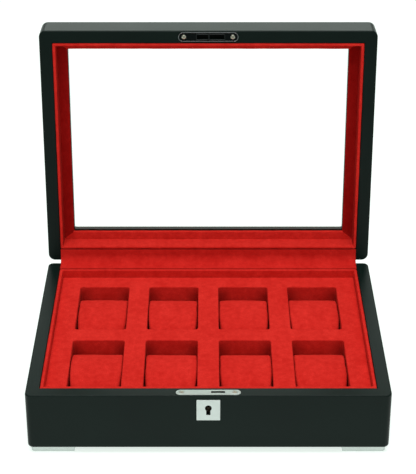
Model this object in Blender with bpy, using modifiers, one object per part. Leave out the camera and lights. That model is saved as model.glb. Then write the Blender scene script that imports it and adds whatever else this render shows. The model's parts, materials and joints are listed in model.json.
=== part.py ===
"""Watch box: a lacquered case with eight cushioned wells under a hinged, glazed lid, shown open.

The case stands on z = 0 with its front towards -Y. Lengths are metres, given in millimetres
through MM. Pieces of the case are placed from the middle of its underside, and pieces of the
lid from the hinge pin as if the lid were closed: the lid's empty then turns them open.
"""

import math

import bmesh
import bpy
from mathutils import Matrix, Vector

MM = 0.001
FIT = 0.3 * MM  # gap left between pieces that touch

# Outer sizes
WIDTH = 320 * MM
DEPTH = 238 * MM
BASE_HEIGHT = 55.5 * MM  # case body, without its feet
LID_HEIGHT = 31.5 * MM
RIM_GAP = 0.8 * MM  # between the two rims when the lid is closed
LID_ANGLE = math.radians(94)  # how far the lid stands open

# Case and lid walls
WALL = 12 * MM
CORNER_RADIUS = 6.5 * MM
RIM_FILLET = 1.2 * MM
OUTER_FILLET = 2.5 * MM
LINING = 3.0 * MM
PANEL_RAISE = 1.0 * MM
PANEL = 5.0 * MM
FLOOR_CARD = 1.5 * MM

# Feet
FOOT_HEIGHT = 5.2 * MM
FOOT_LEG = 38.5 * MM
FOOT_BREADTH = 14 * MM
FOOT_INSET = 2.8 * MM
FOOT_SCREW_ALONG = 26 * MM  # from the case's end face to the foot's screw
FOOT_SCREW_RECESS = 1.0 * MM

# Tray and wells
COLUMNS = 4
ROWS = 2
COLUMN_GAP = 19.8 * MM
ROW_GAP = 19.5 * MM
SIDE_MARGIN = 18.7 * MM
BACK_MARGIN = 18.8 * MM
FRONT_MARGIN = 9.6 * MM
DECK_DROP = 8.3 * MM  # from the rim down to the tray's deck
DECK = 2.0 * MM
WELL_CORNER = 2.8 * MM

# Cushions
CUSHION_SIDE_CLEAR = 1.0 * MM
CUSHION_FRONT_CLEAR = 2.5 * MM
CUSHION_BACK_CLEAR = 7.0 * MM
CUSHION_FULLNESS = 2.3  # exponent of its end outline, 2 being an ellipse
CUSHION_EDGE = 2.0 * MM

# Lid window
BEZEL_VISIBLE = 9.2 * MM
BEZEL = 3.2 * MM
GLASS = 3.0 * MM
LIP = 6.8 * MM  # frame above the glass

# Hinges and the strip that covers them
PIN_BEHIND = 1.5 * MM
PIN_RADIUS = 0.8 * MM
PIN_CLEARANCE = 0.1 * MM
KNUCKLE_RADIUS = 1.8 * MM
HINGE_LENGTH = 40 * MM
HINGE_INSET = 70 * MM  # from the case's end face to the hinge's middle
LEAF = 1.2 * MM
LEAF_REACH = 10.5 * MM
REBATE = 0.8 * MM
REBATE_LAND = 1.5 * MM
STRIP = 0.5 * MM
STRIP_CLEARANCE = 0.36 * MM  # from the hinges' knuckles

# Lock
LOCK_PLATE_LENGTH = 56.6 * MM
LOCK_PLATE_BREADTH = 8.8 * MM
LOCK_PLATE = 1.6 * MM
LOCK_SLOT = (2.4 * MM, 14.5 * MM)  # along X
LOCK_SLOT_BREADTH = 2.8 * MM
LOCK_SCREW_X = 23.2 * MM
LOCK_CASE_WIDTH = 41 * MM
LOCK_CASE_HEIGHT = 28.5 * MM
LOCK_CASE_THICKNESS = 5.6 * MM
HOOK_PIVOT = (-6 * MM, 8 * MM)  # along X, and down from the rim
HOOK_RADII = (13.5 * MM, 18 * MM)
HOOK_NOSE = math.radians(19)
HOOK_TAIL = math.radians(-56)
HOOK_SPOKE = math.radians(20)
HOOK_BOSS = 2.6 * MM
HOOK_PIN = 0.9 * MM
HOOK_THICKNESS = 2.0 * MM
HOOK_ROOM = 0.8 * MM
ESCUTCHEON_WIDTH = 21.5 * MM
ESCUTCHEON_HEIGHT = 22 * MM
ESCUTCHEON = 1.2 * MM
ESCUTCHEON_PROUD = 0.7 * MM
ESCUTCHEON_DROP = 3.7 * MM
KEYHOLE_DROP = 12.6 * MM  # from the rim to the middle of its round part
KEYHOLE_RADIUS = 2.9 * MM
KEYHOLE_SLOT = 3.6 * MM
KEYHOLE_FOOT = 7.0 * MM
KEY_PIN_RADIUS = 1.0 * MM

# Strike plate on the lid
STRIKE_LENGTH = 57 * MM
STRIKE_BREADTH = 9.2 * MM
STRIKE = 1.4 * MM
STRIKE_PROUD = 0.1 * MM
STRIKE_SLOTS = ((-10.9 * MM, -0.2 * MM), (1.3 * MM, 15.1 * MM))
STRIKE_SLOT_BREADTH = 5.0 * MM
STRIKE_SCREW_X = 23.1 * MM
STRIKE_POCKET = 10 * MM

# Screws: head radius, head height, shank radius, shank length
PLATE_SCREW = (2.1 * MM, 1.3 * MM, 1.0 * MM, 8 * MM)
FOOT_SCREW = (3.0 * MM, 1.8 * MM, 1.4 * MM, 9 * MM)
SCREW_DOME = 0.3 * MM

# Sizes that follow from those above
HINGE_Y = DEPTH / 2 + PIN_BEHIND
HINGE_Z = BASE_HEIGHT + RIM_GAP / 2
WALL_MIDDLE_Y = DEPTH / 2 - WALL / 2
CAVITY = (WIDTH / 2 - WALL, DEPTH / 2 - WALL)
INSIDE = tuple(half - LINING - 2 * FIT for half in CAVITY)
FLOOR_TOP = PANEL_RAISE + PANEL + FIT + FLOOR_CARD
DECK_TOP = BASE_HEIGHT - DECK_DROP
WELL_WIDTH = (2 * INSIDE[0] - 2 * SIDE_MARGIN - (COLUMNS - 1) * COLUMN_GAP) / COLUMNS
WELL_LENGTH = (2 * INSIDE[1] - BACK_MARGIN - FRONT_MARGIN - (ROWS - 1) * ROW_GAP) / ROWS
WINDOW = tuple(half - LINING - 2 * FIT - BEZEL_VISIBLE for half in CAVITY)
HINGE_XS = (-(WIDTH / 2 - HINGE_INSET), WIDTH / 2 - HINGE_INSET)
RIM_IN_LID = RIM_GAP / 2  # the lid's rim, above the pin


def clear_scene():
    for obj in list(bpy.data.objects):
        bpy.data.objects.remove(obj, do_unlink=True)


def make_collection(name):
    collection = bpy.data.collections.new(name)
    bpy.context.scene.collection.children.link(collection)
    return collection


def make_material(name, colour, roughness, metallic=0.0, alpha=1.0):
    material = bpy.data.materials.new(name)
    material.use_nodes = True
    shader = material.node_tree.nodes["Principled BSDF"]
    shader.inputs["Base Color"].default_value = (*colour, 1.0)
    shader.inputs["Roughness"].default_value = roughness
    shader.inputs["Metallic"].default_value = metallic
    shader.inputs["Alpha"].default_value = alpha
    return material


def make_empty(name, location, rotation=(0, 0, 0), parent=None):
    empty = bpy.data.objects.new(name, None)
    PARTS.objects.link(empty)
    empty.location = location
    empty.rotation_euler = rotation
    empty.parent = parent
    return empty


def add_part(name, mesh, material, parent, location=(0, 0, 0), rotation=(0, 0, 0)):
    """A named sub-part, shaded smooth across its rounded edges."""
    mesh.name = name
    mesh.materials.clear()
    mesh.materials.append(material)
    mesh.shade_smooth()
    mesh.set_sharp_from_angle(angle=math.radians(35))
    obj = bpy.data.objects.new(name, mesh)
    PARTS.objects.link(obj)
    obj.parent = parent
    obj.location = location
    obj.rotation_euler = rotation
    return obj


def add_cutter(name, mesh, parent, location=(0, 0, 0), rotation=(0, 0, 0)):
    """A shape that only cuts or joins other pieces."""
    obj = bpy.data.objects.new(name, mesh)
    CUTTERS.objects.link(obj)
    obj.parent = parent
    obj.location = location
    obj.rotation_euler = rotation
    obj.hide_render = True
    obj.display_type = "WIRE"
    return obj


def combine(obj, operation, *cutters):
    for cutter in cutters:
        modifier = obj.modifiers.new(cutter.name, "BOOLEAN")
        modifier.operation = operation
        modifier.solver = "EXACT"
        modifier.object = cutter


def box_mesh(size):
    """A box centred on the origin."""
    shape = bmesh.new()
    bmesh.ops.create_cube(shape, size=1.0, matrix=Matrix.Diagonal((*size, 1.0)))
    return finished(shape)


def between(low, high):
    """Size and middle of the box between two corners."""
    low, high = Vector(low), Vector(high)
    return high - low, (low + high) / 2


def finished(shape):
    mesh = bpy.data.meshes.new("shape")
    bmesh.ops.recalc_face_normals(shape, faces=shape.faces[:])
    shape.to_mesh(mesh)
    shape.free()
    return mesh


def rounded_block_mesh(size, low_fillet, high_fillet):
    """The case's outer form: round upright corners, and a fillet round each end face."""
    shape = bmesh.new()
    bmesh.ops.create_cube(shape, size=1.0, matrix=Matrix.Diagonal((*size, 1.0)))
    upright = [e for e in shape.edges if abs((e.verts[0].co - e.verts[1].co).z) > size[2] / 2]
    bmesh.ops.bevel(
        shape, geom=upright, offset=CORNER_RADIUS, offset_type="OFFSET",
        segments=6, profile=0.5, affect="EDGES",
    )
    for side, fillet in ((-1, low_fillet), (1, high_fillet)):
        end = max(shape.faces, key=lambda face: side * face.calc_center_median().z)
        bmesh.ops.bevel(
            shape, geom=end.edges[:], offset=fillet, offset_type="OFFSET",
            segments=3, profile=0.5, affect="EDGES",
        )
    return finished(shape)


def cylinder_mesh(radius, length, sides=24):
    """A cylinder along Z, centred on the origin."""
    shape = bmesh.new()
    bmesh.ops.create_cone(
        shape, cap_ends=True, segments=sides, radius1=radius, radius2=radius, depth=length,
    )
    return finished(shape)


def prism_mesh(outline, thickness, holes=()):
    """A flat outline in XY, with holes, extruded along Z about the origin."""
    curve = bpy.data.curves.new("outline", "CURVE")
    curve.dimensions = "2D"
    curve.fill_mode = "BOTH"
    curve.extrude = thickness / 2
    for points in (outline, *holes):
        spline = curve.splines.new("POLY")
        spline.points.add(len(points) - 1)
        for target, (x, y) in zip(spline.points, points):
            target.co = (x, y, 0, 1)
        spline.use_cyclic_u = True
    obj = bpy.data.objects.new("outline", curve)
    bpy.context.scene.collection.objects.link(obj)
    depsgraph = bpy.context.evaluated_depsgraph_get()
    mesh = bpy.data.meshes.new_from_object(obj.evaluated_get(depsgraph))
    bpy.data.objects.remove(obj, do_unlink=True)
    shape = bmesh.new()
    shape.from_mesh(mesh)
    bmesh.ops.remove_doubles(shape, verts=shape.verts[:], dist=0.00001)
    return finished(shape)


def arc(centre, radius, start, end, steps):
    """Points along an arc, angles in radians."""
    angles = [start + (end - start) * step / steps for step in range(steps + 1)]
    return [(centre[0] + radius * math.cos(a), centre[1] + radius * math.sin(a)) for a in angles]


def rectangle(low, high):
    return [low, (high[0], low[1]), high, (low[0], high[1])]


def rounded_rectangle(middle, width, depth, radius, steps=5):
    points = []
    for turn, (sx, sy) in enumerate(((1, 1), (-1, 1), (-1, -1), (1, -1))):
        centre = (middle[0] + sx * (width / 2 - radius), middle[1] + sy * (depth / 2 - radius))
        start = turn * math.pi / 2
        points += arc(centre, radius, start, start + math.pi / 2, steps)
    return points


def stadium(length, breadth, steps=10):
    """An oblong with fully round ends, along X."""
    reach = (length - breadth) / 2
    right = arc((reach, 0), breadth / 2, -math.pi / 2, math.pi / 2, steps)
    left = arc((-reach, 0), breadth / 2, math.pi / 2, 3 * math.pi / 2, steps)
    return right + left


def screw_mesh(sizes, dome=0.0, margin=0.0):
    """A countersunk screw along -Z, its head's rim at z = 0; margin makes its hole's cutter."""
    head_radius, head_height, shank_radius, shank_length = sizes
    profile = [
        (0, dome + margin),
        (head_radius * 0.6 + margin, dome * 0.65 + margin),
        (head_radius + margin, margin),
        (head_radius + margin, -0.2 * MM),
        (shank_radius + margin, -head_height),
        (shank_radius + margin, -(head_height + shank_length)),
        (0, -(head_height + shank_length) - 2 * margin - 0.5 * MM),
    ]
    mesh = bpy.data.meshes.new("screw")
    edges = [(step, step + 1) for step in range(len(profile) - 1)]
    mesh.from_pydata([(radius, 0, height) for radius, height in profile], edges, [])
    return mesh


def turn_profile(obj, steps=16):
    modifier = obj.modifiers.new("Turn", "SCREW")
    modifier.steps = steps
    modifier.render_steps = steps
    modifier.use_merge_vertices = True
    modifier.merge_threshold = 0.00001


def add_screw(name, sizes, material, parent, location, rotation=(0, 0, 0), dome=0.0):
    """A screw and the cutter for its hole."""
    screw = add_part(name, screw_mesh(sizes, dome), material, parent, location, rotation)
    turn_profile(screw)
    hole = add_cutter(name + "_hole", screw_mesh(sizes, dome, FIT), parent, location, rotation)
    turn_profile(hole)
    return hole


def wedge_meshes():
    """What each mitred wall keeps of the ring, as trapezoids with a joint gap between them."""
    slack = FIT / math.sqrt(2)
    outer = 5 * MM  # beyond the outer faces
    reach = 45 * MM
    height = 3 * (BASE_HEIGHT + LID_HEIGHT)
    meshes = {}
    for side, length, across in (("front", WIDTH, DEPTH), ("right", DEPTH, WIDTH)):
        wide, narrow = length / 2 + outer - slack, length / 2 - reach - slack
        far, near = -(across / 2 + outer), -(across / 2 - reach)
        outline = [(-wide, far), (wide, far), (narrow, near), (-narrow, near)]
        meshes[side] = prism_mesh(outline, height)
    return {
        "front": (meshes["front"], 0.0),
        "right": (meshes["right"], math.pi / 2),
        "back": (meshes["front"], math.pi),
        "left": (meshes["right"], -math.pi / 2),
    }


def add_walls(prefix, block, cavity_cutters, parent, middle, material):
    """Four mitred walls cut from one rounded block."""
    walls = {}
    for side, (wedge, turn) in wedge_meshes().items():
        wall = add_part(f"{prefix}_wall_{side}", block.copy(), material, parent, middle)
        keep = add_cutter(f"{prefix}_keep_{side}", wedge, parent, (0, middle[1], 0), (0, 0, turn))
        combine(wall, "DIFFERENCE", *cavity_cutters)
        combine(wall, "INTERSECT", keep)
        walls[side] = wall
    return walls


def box_cutter(name, low, high, parent):
    size, middle = between(low, high)
    return add_cutter(name, box_mesh(size), parent, middle)


def box_part(name, low, high, material, parent):
    size, middle = between(low, high)
    return add_part(name, box_mesh(size), material, parent, middle)


def ring_part(name, outer_half, inner_half, low, high, material, parent, middle_y=0.0):
    """A rectangular frame standing between two heights."""
    outline = rectangle((-outer_half[0], -outer_half[1]), outer_half)
    hole = rectangle((-inner_half[0], -inner_half[1]), inner_half)
    mesh = prism_mesh(outline, high - low, [hole])
    return add_part(name, mesh, material, parent, (0, middle_y, (low + high) / 2))


# ---------------------------------------------------------------- case


def build_case(case):
    """Walls, bottom panel, floor card and lining."""
    block = rounded_block_mesh((WIDTH, DEPTH, BASE_HEIGHT), OUTER_FILLET, RIM_FILLET)
    over = 10 * MM
    cavity = box_cutter(
        "base_cavity", (-CAVITY[0], -CAVITY[1], -over), (*CAVITY, BASE_HEIGHT + over), case
    )
    walls = add_walls("base", block, [cavity], case, (0, 0, BASE_HEIGHT / 2), LACQUER)

    inner = tuple(half - FIT for half in CAVITY)
    panel_top = PANEL_RAISE + PANEL
    box_part(
        "base_bottom_panel", (-inner[0], -inner[1], PANEL_RAISE), (*inner, panel_top),
        LACQUER, case,
    )
    lined = tuple(half - LINING for half in inner)
    ring_part("base_lining", inner, lined, panel_top + FIT, BASE_HEIGHT, VELVET, case)
    box_part(
        "well_floor_card", (-INSIDE[0], -INSIDE[1], panel_top + FIT), (*INSIDE, FLOOR_TOP),
        VELVET, case,
    )
    return walls


def build_feet(case, walls):
    """Metal corner brackets under the case, each with one screw."""
    corner = CORNER_RADIUS - FOOT_INSET
    turned_corner = arc((-corner, -corner), corner, 0, math.pi / 2, 4)
    outline = [
        (-FOOT_LEG, 0), (-FOOT_LEG, -FOOT_BREADTH), (-FOOT_BREADTH, -FOOT_BREADTH),
        (-FOOT_BREADTH, -FOOT_LEG), (0, -FOOT_LEG), *turned_corner,
    ]
    height = FOOT_HEIGHT - FIT
    for front_back, sy in (("front", -1), ("back", 1)):
        for left_right, sx in (("left", -1), ("right", 1)):
            points = [(sx * x, sy * y) for x, y in outline]
            place = (sx * (WIDTH / 2 - FOOT_INSET), sy * (DEPTH / 2 - FOOT_INSET))
            name = f"{front_back}_{left_right}"
            foot = add_part(
                "foot_" + name, prism_mesh(points, height), STEEL, case,
                (*place, height / 2 - FOOT_HEIGHT),
            )
            hole = add_screw(
                "foot_screw_" + name, FOOT_SCREW, BRASS, case,
                (
                    sx * (WIDTH / 2 - FOOT_SCREW_ALONG),
                    sy * WALL_MIDDLE_Y,
                    FOOT_SCREW_RECESS - FOOT_HEIGHT,
                ),
                rotation=(math.pi, 0, 0),
            )
            mouth = add_cutter(
                f"foot_recess_{name}", cylinder_mesh(FOOT_SCREW[0] + FIT, 2 * MM, 16), case,
                (hole.location.x, hole.location.y, FOOT_SCREW_RECESS - FOOT_HEIGHT - 0.9 * MM),
            )
            combine(foot, "DIFFERENCE", hole, mouth)
            combine(walls[front_back], "DIFFERENCE", hole)


# ---------------------------------------------------------------- tray


def well_centres():
    """Middle of each well in plan, as {(row, column): (x, y)}, row 1 at the front."""
    centres = {}
    for row in range(ROWS):
        y = -INSIDE[1] + FRONT_MARGIN + WELL_LENGTH / 2 + row * (WELL_LENGTH + ROW_GAP)
        for column in range(COLUMNS):
            x = -INSIDE[0] + SIDE_MARGIN + WELL_WIDTH / 2 + column * (WELL_WIDTH + COLUMN_GAP)
            centres[row + 1, column + 1] = (x, y)
    return centres


def build_tray(case):
    """The deck with its eight windows, on the bars that wall the wells."""
    centres = well_centres()
    outline = rectangle((-INSIDE[0], -INSIDE[1]), INSIDE)
    windows = [
        rounded_rectangle(middle, WELL_WIDTH, WELL_LENGTH, WELL_CORNER)
        for middle in centres.values()
    ]
    deck = prism_mesh(outline, DECK, windows)
    add_part("tray_deck", deck, VELVET, case, (0, 0, DECK_TOP - DECK / 2))

    low, high = FLOOR_TOP + FIT, DECK_TOP - DECK - FIT

    def bar(name, x0, x1, y0, y1):
        box_part(name, (x0, y0, low), (x1, y1, high), VELVET, case)

    side = INSIDE[0] - SIDE_MARGIN
    bar("tray_bar_left", -INSIDE[0], -side, -INSIDE[1], INSIDE[1])
    bar("tray_bar_right", side, INSIDE[0], -INSIDE[1], INSIDE[1])

    front_edge = -INSIDE[1] + FRONT_MARGIN
    bar("tray_bar_front", -side + FIT, side - FIT, -INSIDE[1], front_edge)
    bar("tray_bar_back", -side + FIT, side - FIT, INSIDE[1] - BACK_MARGIN, INSIDE[1])
    for row in range(1, ROWS):
        y0 = front_edge + row * WELL_LENGTH + (row - 1) * ROW_GAP
        name = "tray_bar_middle" if ROWS == 2 else f"tray_bar_middle_{row}"
        bar(name, -side + FIT, side - FIT, y0, y0 + ROW_GAP)
    for (row, column), (x, y) in centres.items():
        if column < COLUMNS:
            x0 = x + WELL_WIDTH / 2
            half = WELL_LENGTH / 2 - FIT
            bar(f"tray_cross_bar_{row}_{column}", x0, x0 + COLUMN_GAP, y - half, y + half)


def build_cushions(case):
    """A round-backed cushion in each well, with its roll along X."""
    length = WELL_LENGTH - CUSHION_FRONT_CLEAR - CUSHION_BACK_CLEAR
    width = WELL_WIDTH - 2 * CUSHION_SIDE_CLEAR
    height = DECK_TOP - FLOOR_TOP - FIT
    power = 2 / CUSHION_FULLNESS
    outline = []
    for step in range(32):
        angle = 2 * math.pi * (step + 0.5) / 32
        c, s = math.cos(angle), math.sin(angle)
        outline.append((
            math.copysign(abs(c) ** power, c) * length / 2,
            math.copysign(abs(s) ** power, s) * height / 2,
        ))
    shape = bmesh.new()
    ring = [shape.verts.new((-width / 2, y, z)) for y, z in outline]
    end = shape.faces.new(ring)
    swept = bmesh.ops.extrude_face_region(shape, geom=[end])
    moved = [item for item in swept["geom"] if isinstance(item, bmesh.types.BMVert)]
    bmesh.ops.translate(shape, verts=moved, vec=(width, 0, 0))
    ends = {edge for face in shape.faces if len(face.verts) > 4 for edge in face.edges}
    bmesh.ops.bevel(
        shape, geom=list(ends), offset=CUSHION_EDGE, offset_type="OFFSET",
        segments=2, profile=0.5, affect="EDGES",
    )
    mesh = finished(shape)
    forward = (CUSHION_BACK_CLEAR - CUSHION_FRONT_CLEAR) / 2
    for (row, column), (x, y) in well_centres().items():
        add_part(
            f"cushion_{row}_{column}", mesh.copy(), VELVET, case,
            (x, y - forward, FLOOR_TOP + FIT + height / 2),
        )


# ---------------------------------------------------------------- lock


def keyhole_outline(margin=0.0):
    """A round hole with a slot below it, in X and Z, centred on the round part."""
    radius, half = KEYHOLE_RADIUS + margin, KEYHOLE_SLOT / 2 + margin
    meet = math.asin(half / radius)
    foot = -(KEYHOLE_FOOT + margin)
    round_part = arc((0, 0), radius, -math.pi / 2 + meet, 3 * math.pi / 2 - meet, 20)
    return [*round_part, (-half, foot), (half, foot)]


def hook_outline():
    """A hooked lever round its pivot: boss, spoke and a band that curves up to the nose."""
    inner, outer = HOOK_RADII
    spoke_top = HOOK_TAIL + HOOK_SPOKE
    flare = math.radians(60)
    return [
        *arc((0, 0), outer, HOOK_NOSE, HOOK_TAIL, 10),
        *arc((0, 0), HOOK_BOSS, HOOK_TAIL - flare, spoke_top + flare - 2 * math.pi, 10),
        *arc((0, 0), inner, spoke_top, HOOK_NOSE, 8),
    ]


def build_lock(case, front_wall):
    """Mortised box lock: plate, case, swinging hook, escutcheon and key pin."""
    wall_y = -WALL_MIDDLE_Y
    upright = (math.pi / 2, 0, 0)
    holes = [
        add_screw(
            f"lock_screw_{side}", PLATE_SCREW, BRASS, case,
            (sign * LOCK_SCREW_X, wall_y, BASE_HEIGHT),
        )
        for side, sign in (("left", -1), ("right", 1))
    ]
    slot = rectangle(
        (LOCK_SLOT[0], -LOCK_SLOT_BREADTH / 2), (LOCK_SLOT[1], LOCK_SLOT_BREADTH / 2)
    )
    plate = add_part(
        "lock_plate",
        prism_mesh(stadium(LOCK_PLATE_LENGTH, LOCK_PLATE_BREADTH), LOCK_PLATE, [slot]),
        STEEL, case, (0, wall_y, BASE_HEIGHT - LOCK_PLATE / 2),
    )
    combine(plate, "DIFFERENCE", *holes)

    case_top = BASE_HEIGHT - LOCK_PLATE - FIT
    half = LOCK_CASE_THICKNESS / 2
    case_low = (-LOCK_CASE_WIDTH / 2, wall_y - half, case_top - LOCK_CASE_HEIGHT)
    case_high = (LOCK_CASE_WIDTH / 2, wall_y + half, case_top)
    lock_case = box_part("lock_case", case_low, case_high, BRASS, case)
    pivot = Vector((HOOK_PIVOT[0], wall_y, BASE_HEIGHT - HOOK_PIVOT[1]))
    sweep = HOOK_RADII[1] + HOOK_ROOM
    room = box_cutter(
        "hook_room",
        (pivot.x - HOOK_BOSS - HOOK_ROOM, wall_y - LOCK_SLOT_BREADTH / 2, pivot.z - sweep),
        (pivot.x + sweep, wall_y + LOCK_SLOT_BREADTH / 2, case_top + 5 * MM),
        case,
    )
    combine(lock_case, "DIFFERENCE", room)
    pin_length = LOCK_SLOT_BREADTH + 1 * MM
    pin = add_cutter(
        "hook_pin", cylinder_mesh(HOOK_PIN, pin_length, 16), case, pivot, upright
    )
    combine(lock_case, "UNION", pin)
    eye = arc((0, 0), HOOK_PIN + PIN_CLEARANCE, 0, 2 * math.pi, 16)[:-1]
    add_part(
        "lock_hook", prism_mesh(hook_outline(), HOOK_THICKNESS, [eye]), BRASS, case,
        pivot, upright,
    )

    keyhole = (0, -DEPTH / 2, BASE_HEIGHT - KEYHOLE_DROP)
    escutcheon_middle = BASE_HEIGHT - ESCUTCHEON_DROP - ESCUTCHEON_HEIGHT / 2
    drop = keyhole[2] - escutcheon_middle
    face = -DEPTH / 2 - ESCUTCHEON_PROUD
    outline = rounded_rectangle(
        (0, -drop), ESCUTCHEON_WIDTH, ESCUTCHEON_HEIGHT, 0.6 * MM, steps=2
    )
    add_part(
        "escutcheon", prism_mesh(outline, ESCUTCHEON, [keyhole_outline()]), STEEL, case,
        (0, face + ESCUTCHEON / 2, keyhole[2]), upright,
    )
    pin_back = wall_y - half - FIT
    pin_front = face + 0.4 * MM
    add_part(
        "key_pin", cylinder_mesh(KEY_PIN_RADIUS, pin_back - pin_front, 16), STEEL, case,
        (0, (pin_back + pin_front) / 2, keyhole[2]), upright,
    )

    over = 5 * MM
    plate_bed = add_cutter(
        "lock_plate_bed",
        prism_mesh(
            stadium(LOCK_PLATE_LENGTH + 2 * FIT, LOCK_PLATE_BREADTH + 2 * FIT),
            LOCK_PLATE + FIT + over,
        ),
        case, (0, wall_y, BASE_HEIGHT + (over - LOCK_PLATE - FIT) / 2),
    )
    mortise = box_cutter(
        "lock_mortise",
        [value - FIT for value in case_low],
        [case_high[0] + FIT, case_high[1] + FIT, BASE_HEIGHT + over],
        case,
    )
    escutcheon_bed = box_cutter(
        "escutcheon_bed",
        (
            -ESCUTCHEON_WIDTH / 2 - FIT, -DEPTH / 2 - over,
            escutcheon_middle - ESCUTCHEON_HEIGHT / 2 - FIT,
        ),
        (
            ESCUTCHEON_WIDTH / 2 + FIT, face + ESCUTCHEON + FIT,
            escutcheon_middle + ESCUTCHEON_HEIGHT / 2 + FIT,
        ),
        case,
    )
    key_way = add_cutter(
        "key_way", prism_mesh(keyhole_outline(FIT), WALL), case, keyhole, upright
    )
    combine(front_wall, "DIFFERENCE", plate_bed, mortise, escutcheon_bed, key_way, *holes)


# ---------------------------------------------------------------- lid


def build_lid(lid):
    """Walls with their lip, glass, bezel, lining and strike plate, as if closed."""
    y = -HINGE_Y
    top = RIM_IN_LID + LID_HEIGHT
    block = rounded_block_mesh((WIDTH, DEPTH, LID_HEIGHT), RIM_FILLET, OUTER_FILLET)
    over = 10 * MM
    lip_under = top - LIP
    cavity = box_cutter(
        "lid_cavity", (-CAVITY[0], y - CAVITY[1], -over), (CAVITY[0], y + CAVITY[1], lip_under),
        lid,
    )
    window = box_cutter(
        "lid_window", (-WINDOW[0], y - WINDOW[1], -over),
        (WINDOW[0], y + WINDOW[1], top + over), lid,
    )
    walls = add_walls(
        "lid", block, [cavity, window], lid, (0, y, RIM_IN_LID + LID_HEIGHT / 2), LACQUER
    )

    inner = tuple(half - FIT for half in CAVITY)
    glass_low = lip_under - FIT - GLASS
    box_part(
        "lid_glass", (-inner[0], y - inner[1], glass_low),
        (inner[0], y + inner[1], glass_low + GLASS), GLAZING, lid,
    )
    bezel_low = glass_low - FIT - BEZEL
    ring_part("lid_bezel", inner, WINDOW, bezel_low, bezel_low + BEZEL, VELVET, lid, y)
    lined = tuple(half - LINING for half in inner)
    ring_part("lid_lining", inner, lined, RIM_IN_LID, bezel_low - FIT, VELVET, lid, y)
    return walls


def build_strike(lid, front_wall):
    """Slotted plate on the lid's front rim, with a pocket for the hook behind it."""
    y = -HINGE_Y - WALL_MIDDLE_Y
    face = RIM_IN_LID - STRIKE_PROUD
    holes = [
        add_screw(
            f"strike_screw_{side}", PLATE_SCREW, STEEL, lid, (sign * STRIKE_SCREW_X, y, face),
            rotation=(math.pi, 0, 0), dome=SCREW_DOME,
        )
        for side, sign in (("left", -1), ("right", 1))
    ]
    half = STRIKE_SLOT_BREADTH / 2
    slots = [rectangle((x0, -half), (x1, half)) for x0, x1 in STRIKE_SLOTS]
    plate = add_part(
        "strike_plate", prism_mesh(stadium(STRIKE_LENGTH, STRIKE_BREADTH), STRIKE, slots),
        DARK_STEEL, lid, (0, y, face + STRIKE / 2),
    )
    combine(plate, "DIFFERENCE", *holes)
    over = 5 * MM
    bed_top = face + STRIKE + FIT
    bed = add_cutter(
        "strike_bed",
        prism_mesh(
            stadium(STRIKE_LENGTH + 2 * FIT, STRIKE_BREADTH + 2 * FIT), STRIKE + FIT + over
        ),
        lid, (0, y, bed_top - (STRIKE + FIT + over) / 2),
    )
    pocket = box_cutter(
        "strike_pocket",
        (STRIKE_SLOTS[0][0] - FIT, y - half, -over),
        (STRIKE_SLOTS[1][1] + FIT, y + half, RIM_IN_LID + STRIKE_POCKET),
        lid,
    )
    combine(front_wall, "DIFFERENCE", bed, pocket, *holes)


# ---------------------------------------------------------------- hinges


def leaf_part(name, parent, x, side, knuckles):
    """A leaf let into a rim, its knuckles round the pin; side is -1 on the case, 1 on the lid."""
    near = RIM_IN_LID + REBATE
    plate_end = -(KNUCKLE_RADIUS + FIT)
    low, high = sorted((side * near, side * (near + LEAF)))
    size, middle = between(
        (-HINGE_LENGTH / 2, -LEAF_REACH, low), (HINGE_LENGTH / 2, plate_end, high)
    )
    leaf = add_part(name, box_mesh(size), BRASS, parent, (x, *middle[1:]))
    along_x = (0, math.pi / 2, 0)
    for number, (start, end) in enumerate(knuckles, 1):
        length, centre = end - start, x + (start + end) / 2
        arm_size, arm_middle = between((0, plate_end - 2 * MM, low), (length, 0, high))
        arm = add_cutter(
            f"{name}_arm_{number}", box_mesh(arm_size), parent, (centre, *arm_middle[1:])
        )
        knuckle = add_cutter(
            f"{name}_knuckle_{number}", cylinder_mesh(KNUCKLE_RADIUS, length), parent,
            (centre, 0, 0), along_x,
        )
        combine(leaf, "UNION", arm, knuckle)
    bore = add_cutter(
        name + "_bore", cylinder_mesh(PIN_RADIUS + PIN_CLEARANCE, HINGE_LENGTH * 1.2),
        parent, (x, 0, 0), along_x,
    )
    combine(leaf, "DIFFERENCE", bore)


def build_hinges(case, lid, pin_line, walls):
    """Two butt hinges let into the back rims, and their housings."""
    third = HINGE_LENGTH / 3
    outer = [(-HINGE_LENGTH / 2, -third / 2 - FIT / 2), (third / 2 + FIT / 2, HINGE_LENGTH / 2)]
    centre = [(-third / 2 + FIT / 2, third / 2 - FIT / 2)]
    along_x = (0, math.pi / 2, 0)
    reach = HINGE_LENGTH / 2 + FIT
    for label, x in zip(("left", "right"), HINGE_XS):
        leaf_part(f"hinge_{label}_case_leaf", pin_line, x, -1, outer)
        leaf_part(f"hinge_{label}_lid_leaf", lid, x, 1, centre)
        add_part(
            f"hinge_{label}_pin", cylinder_mesh(PIN_RADIUS, HINGE_LENGTH), STEEL, pin_line,
            (x, 0, 0), along_x,
        )
        for side, parent, wall in ((-1, pin_line, walls["base"]), (1, lid, walls["lid"])):
            deep = side * (RIM_IN_LID + REBATE + LEAF + FIT)
            low, high = sorted((-side * 2 * MM, deep))
            frame = "case" if side < 0 else "lid"
            housing = box_cutter(
                f"hinge_{label}_{frame}_housing", (x - reach, -LEAF_REACH - FIT, low),
                (x + reach, 2 * MM, high), parent,
            )
            combine(wall, "DIFFERENCE", housing)


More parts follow.
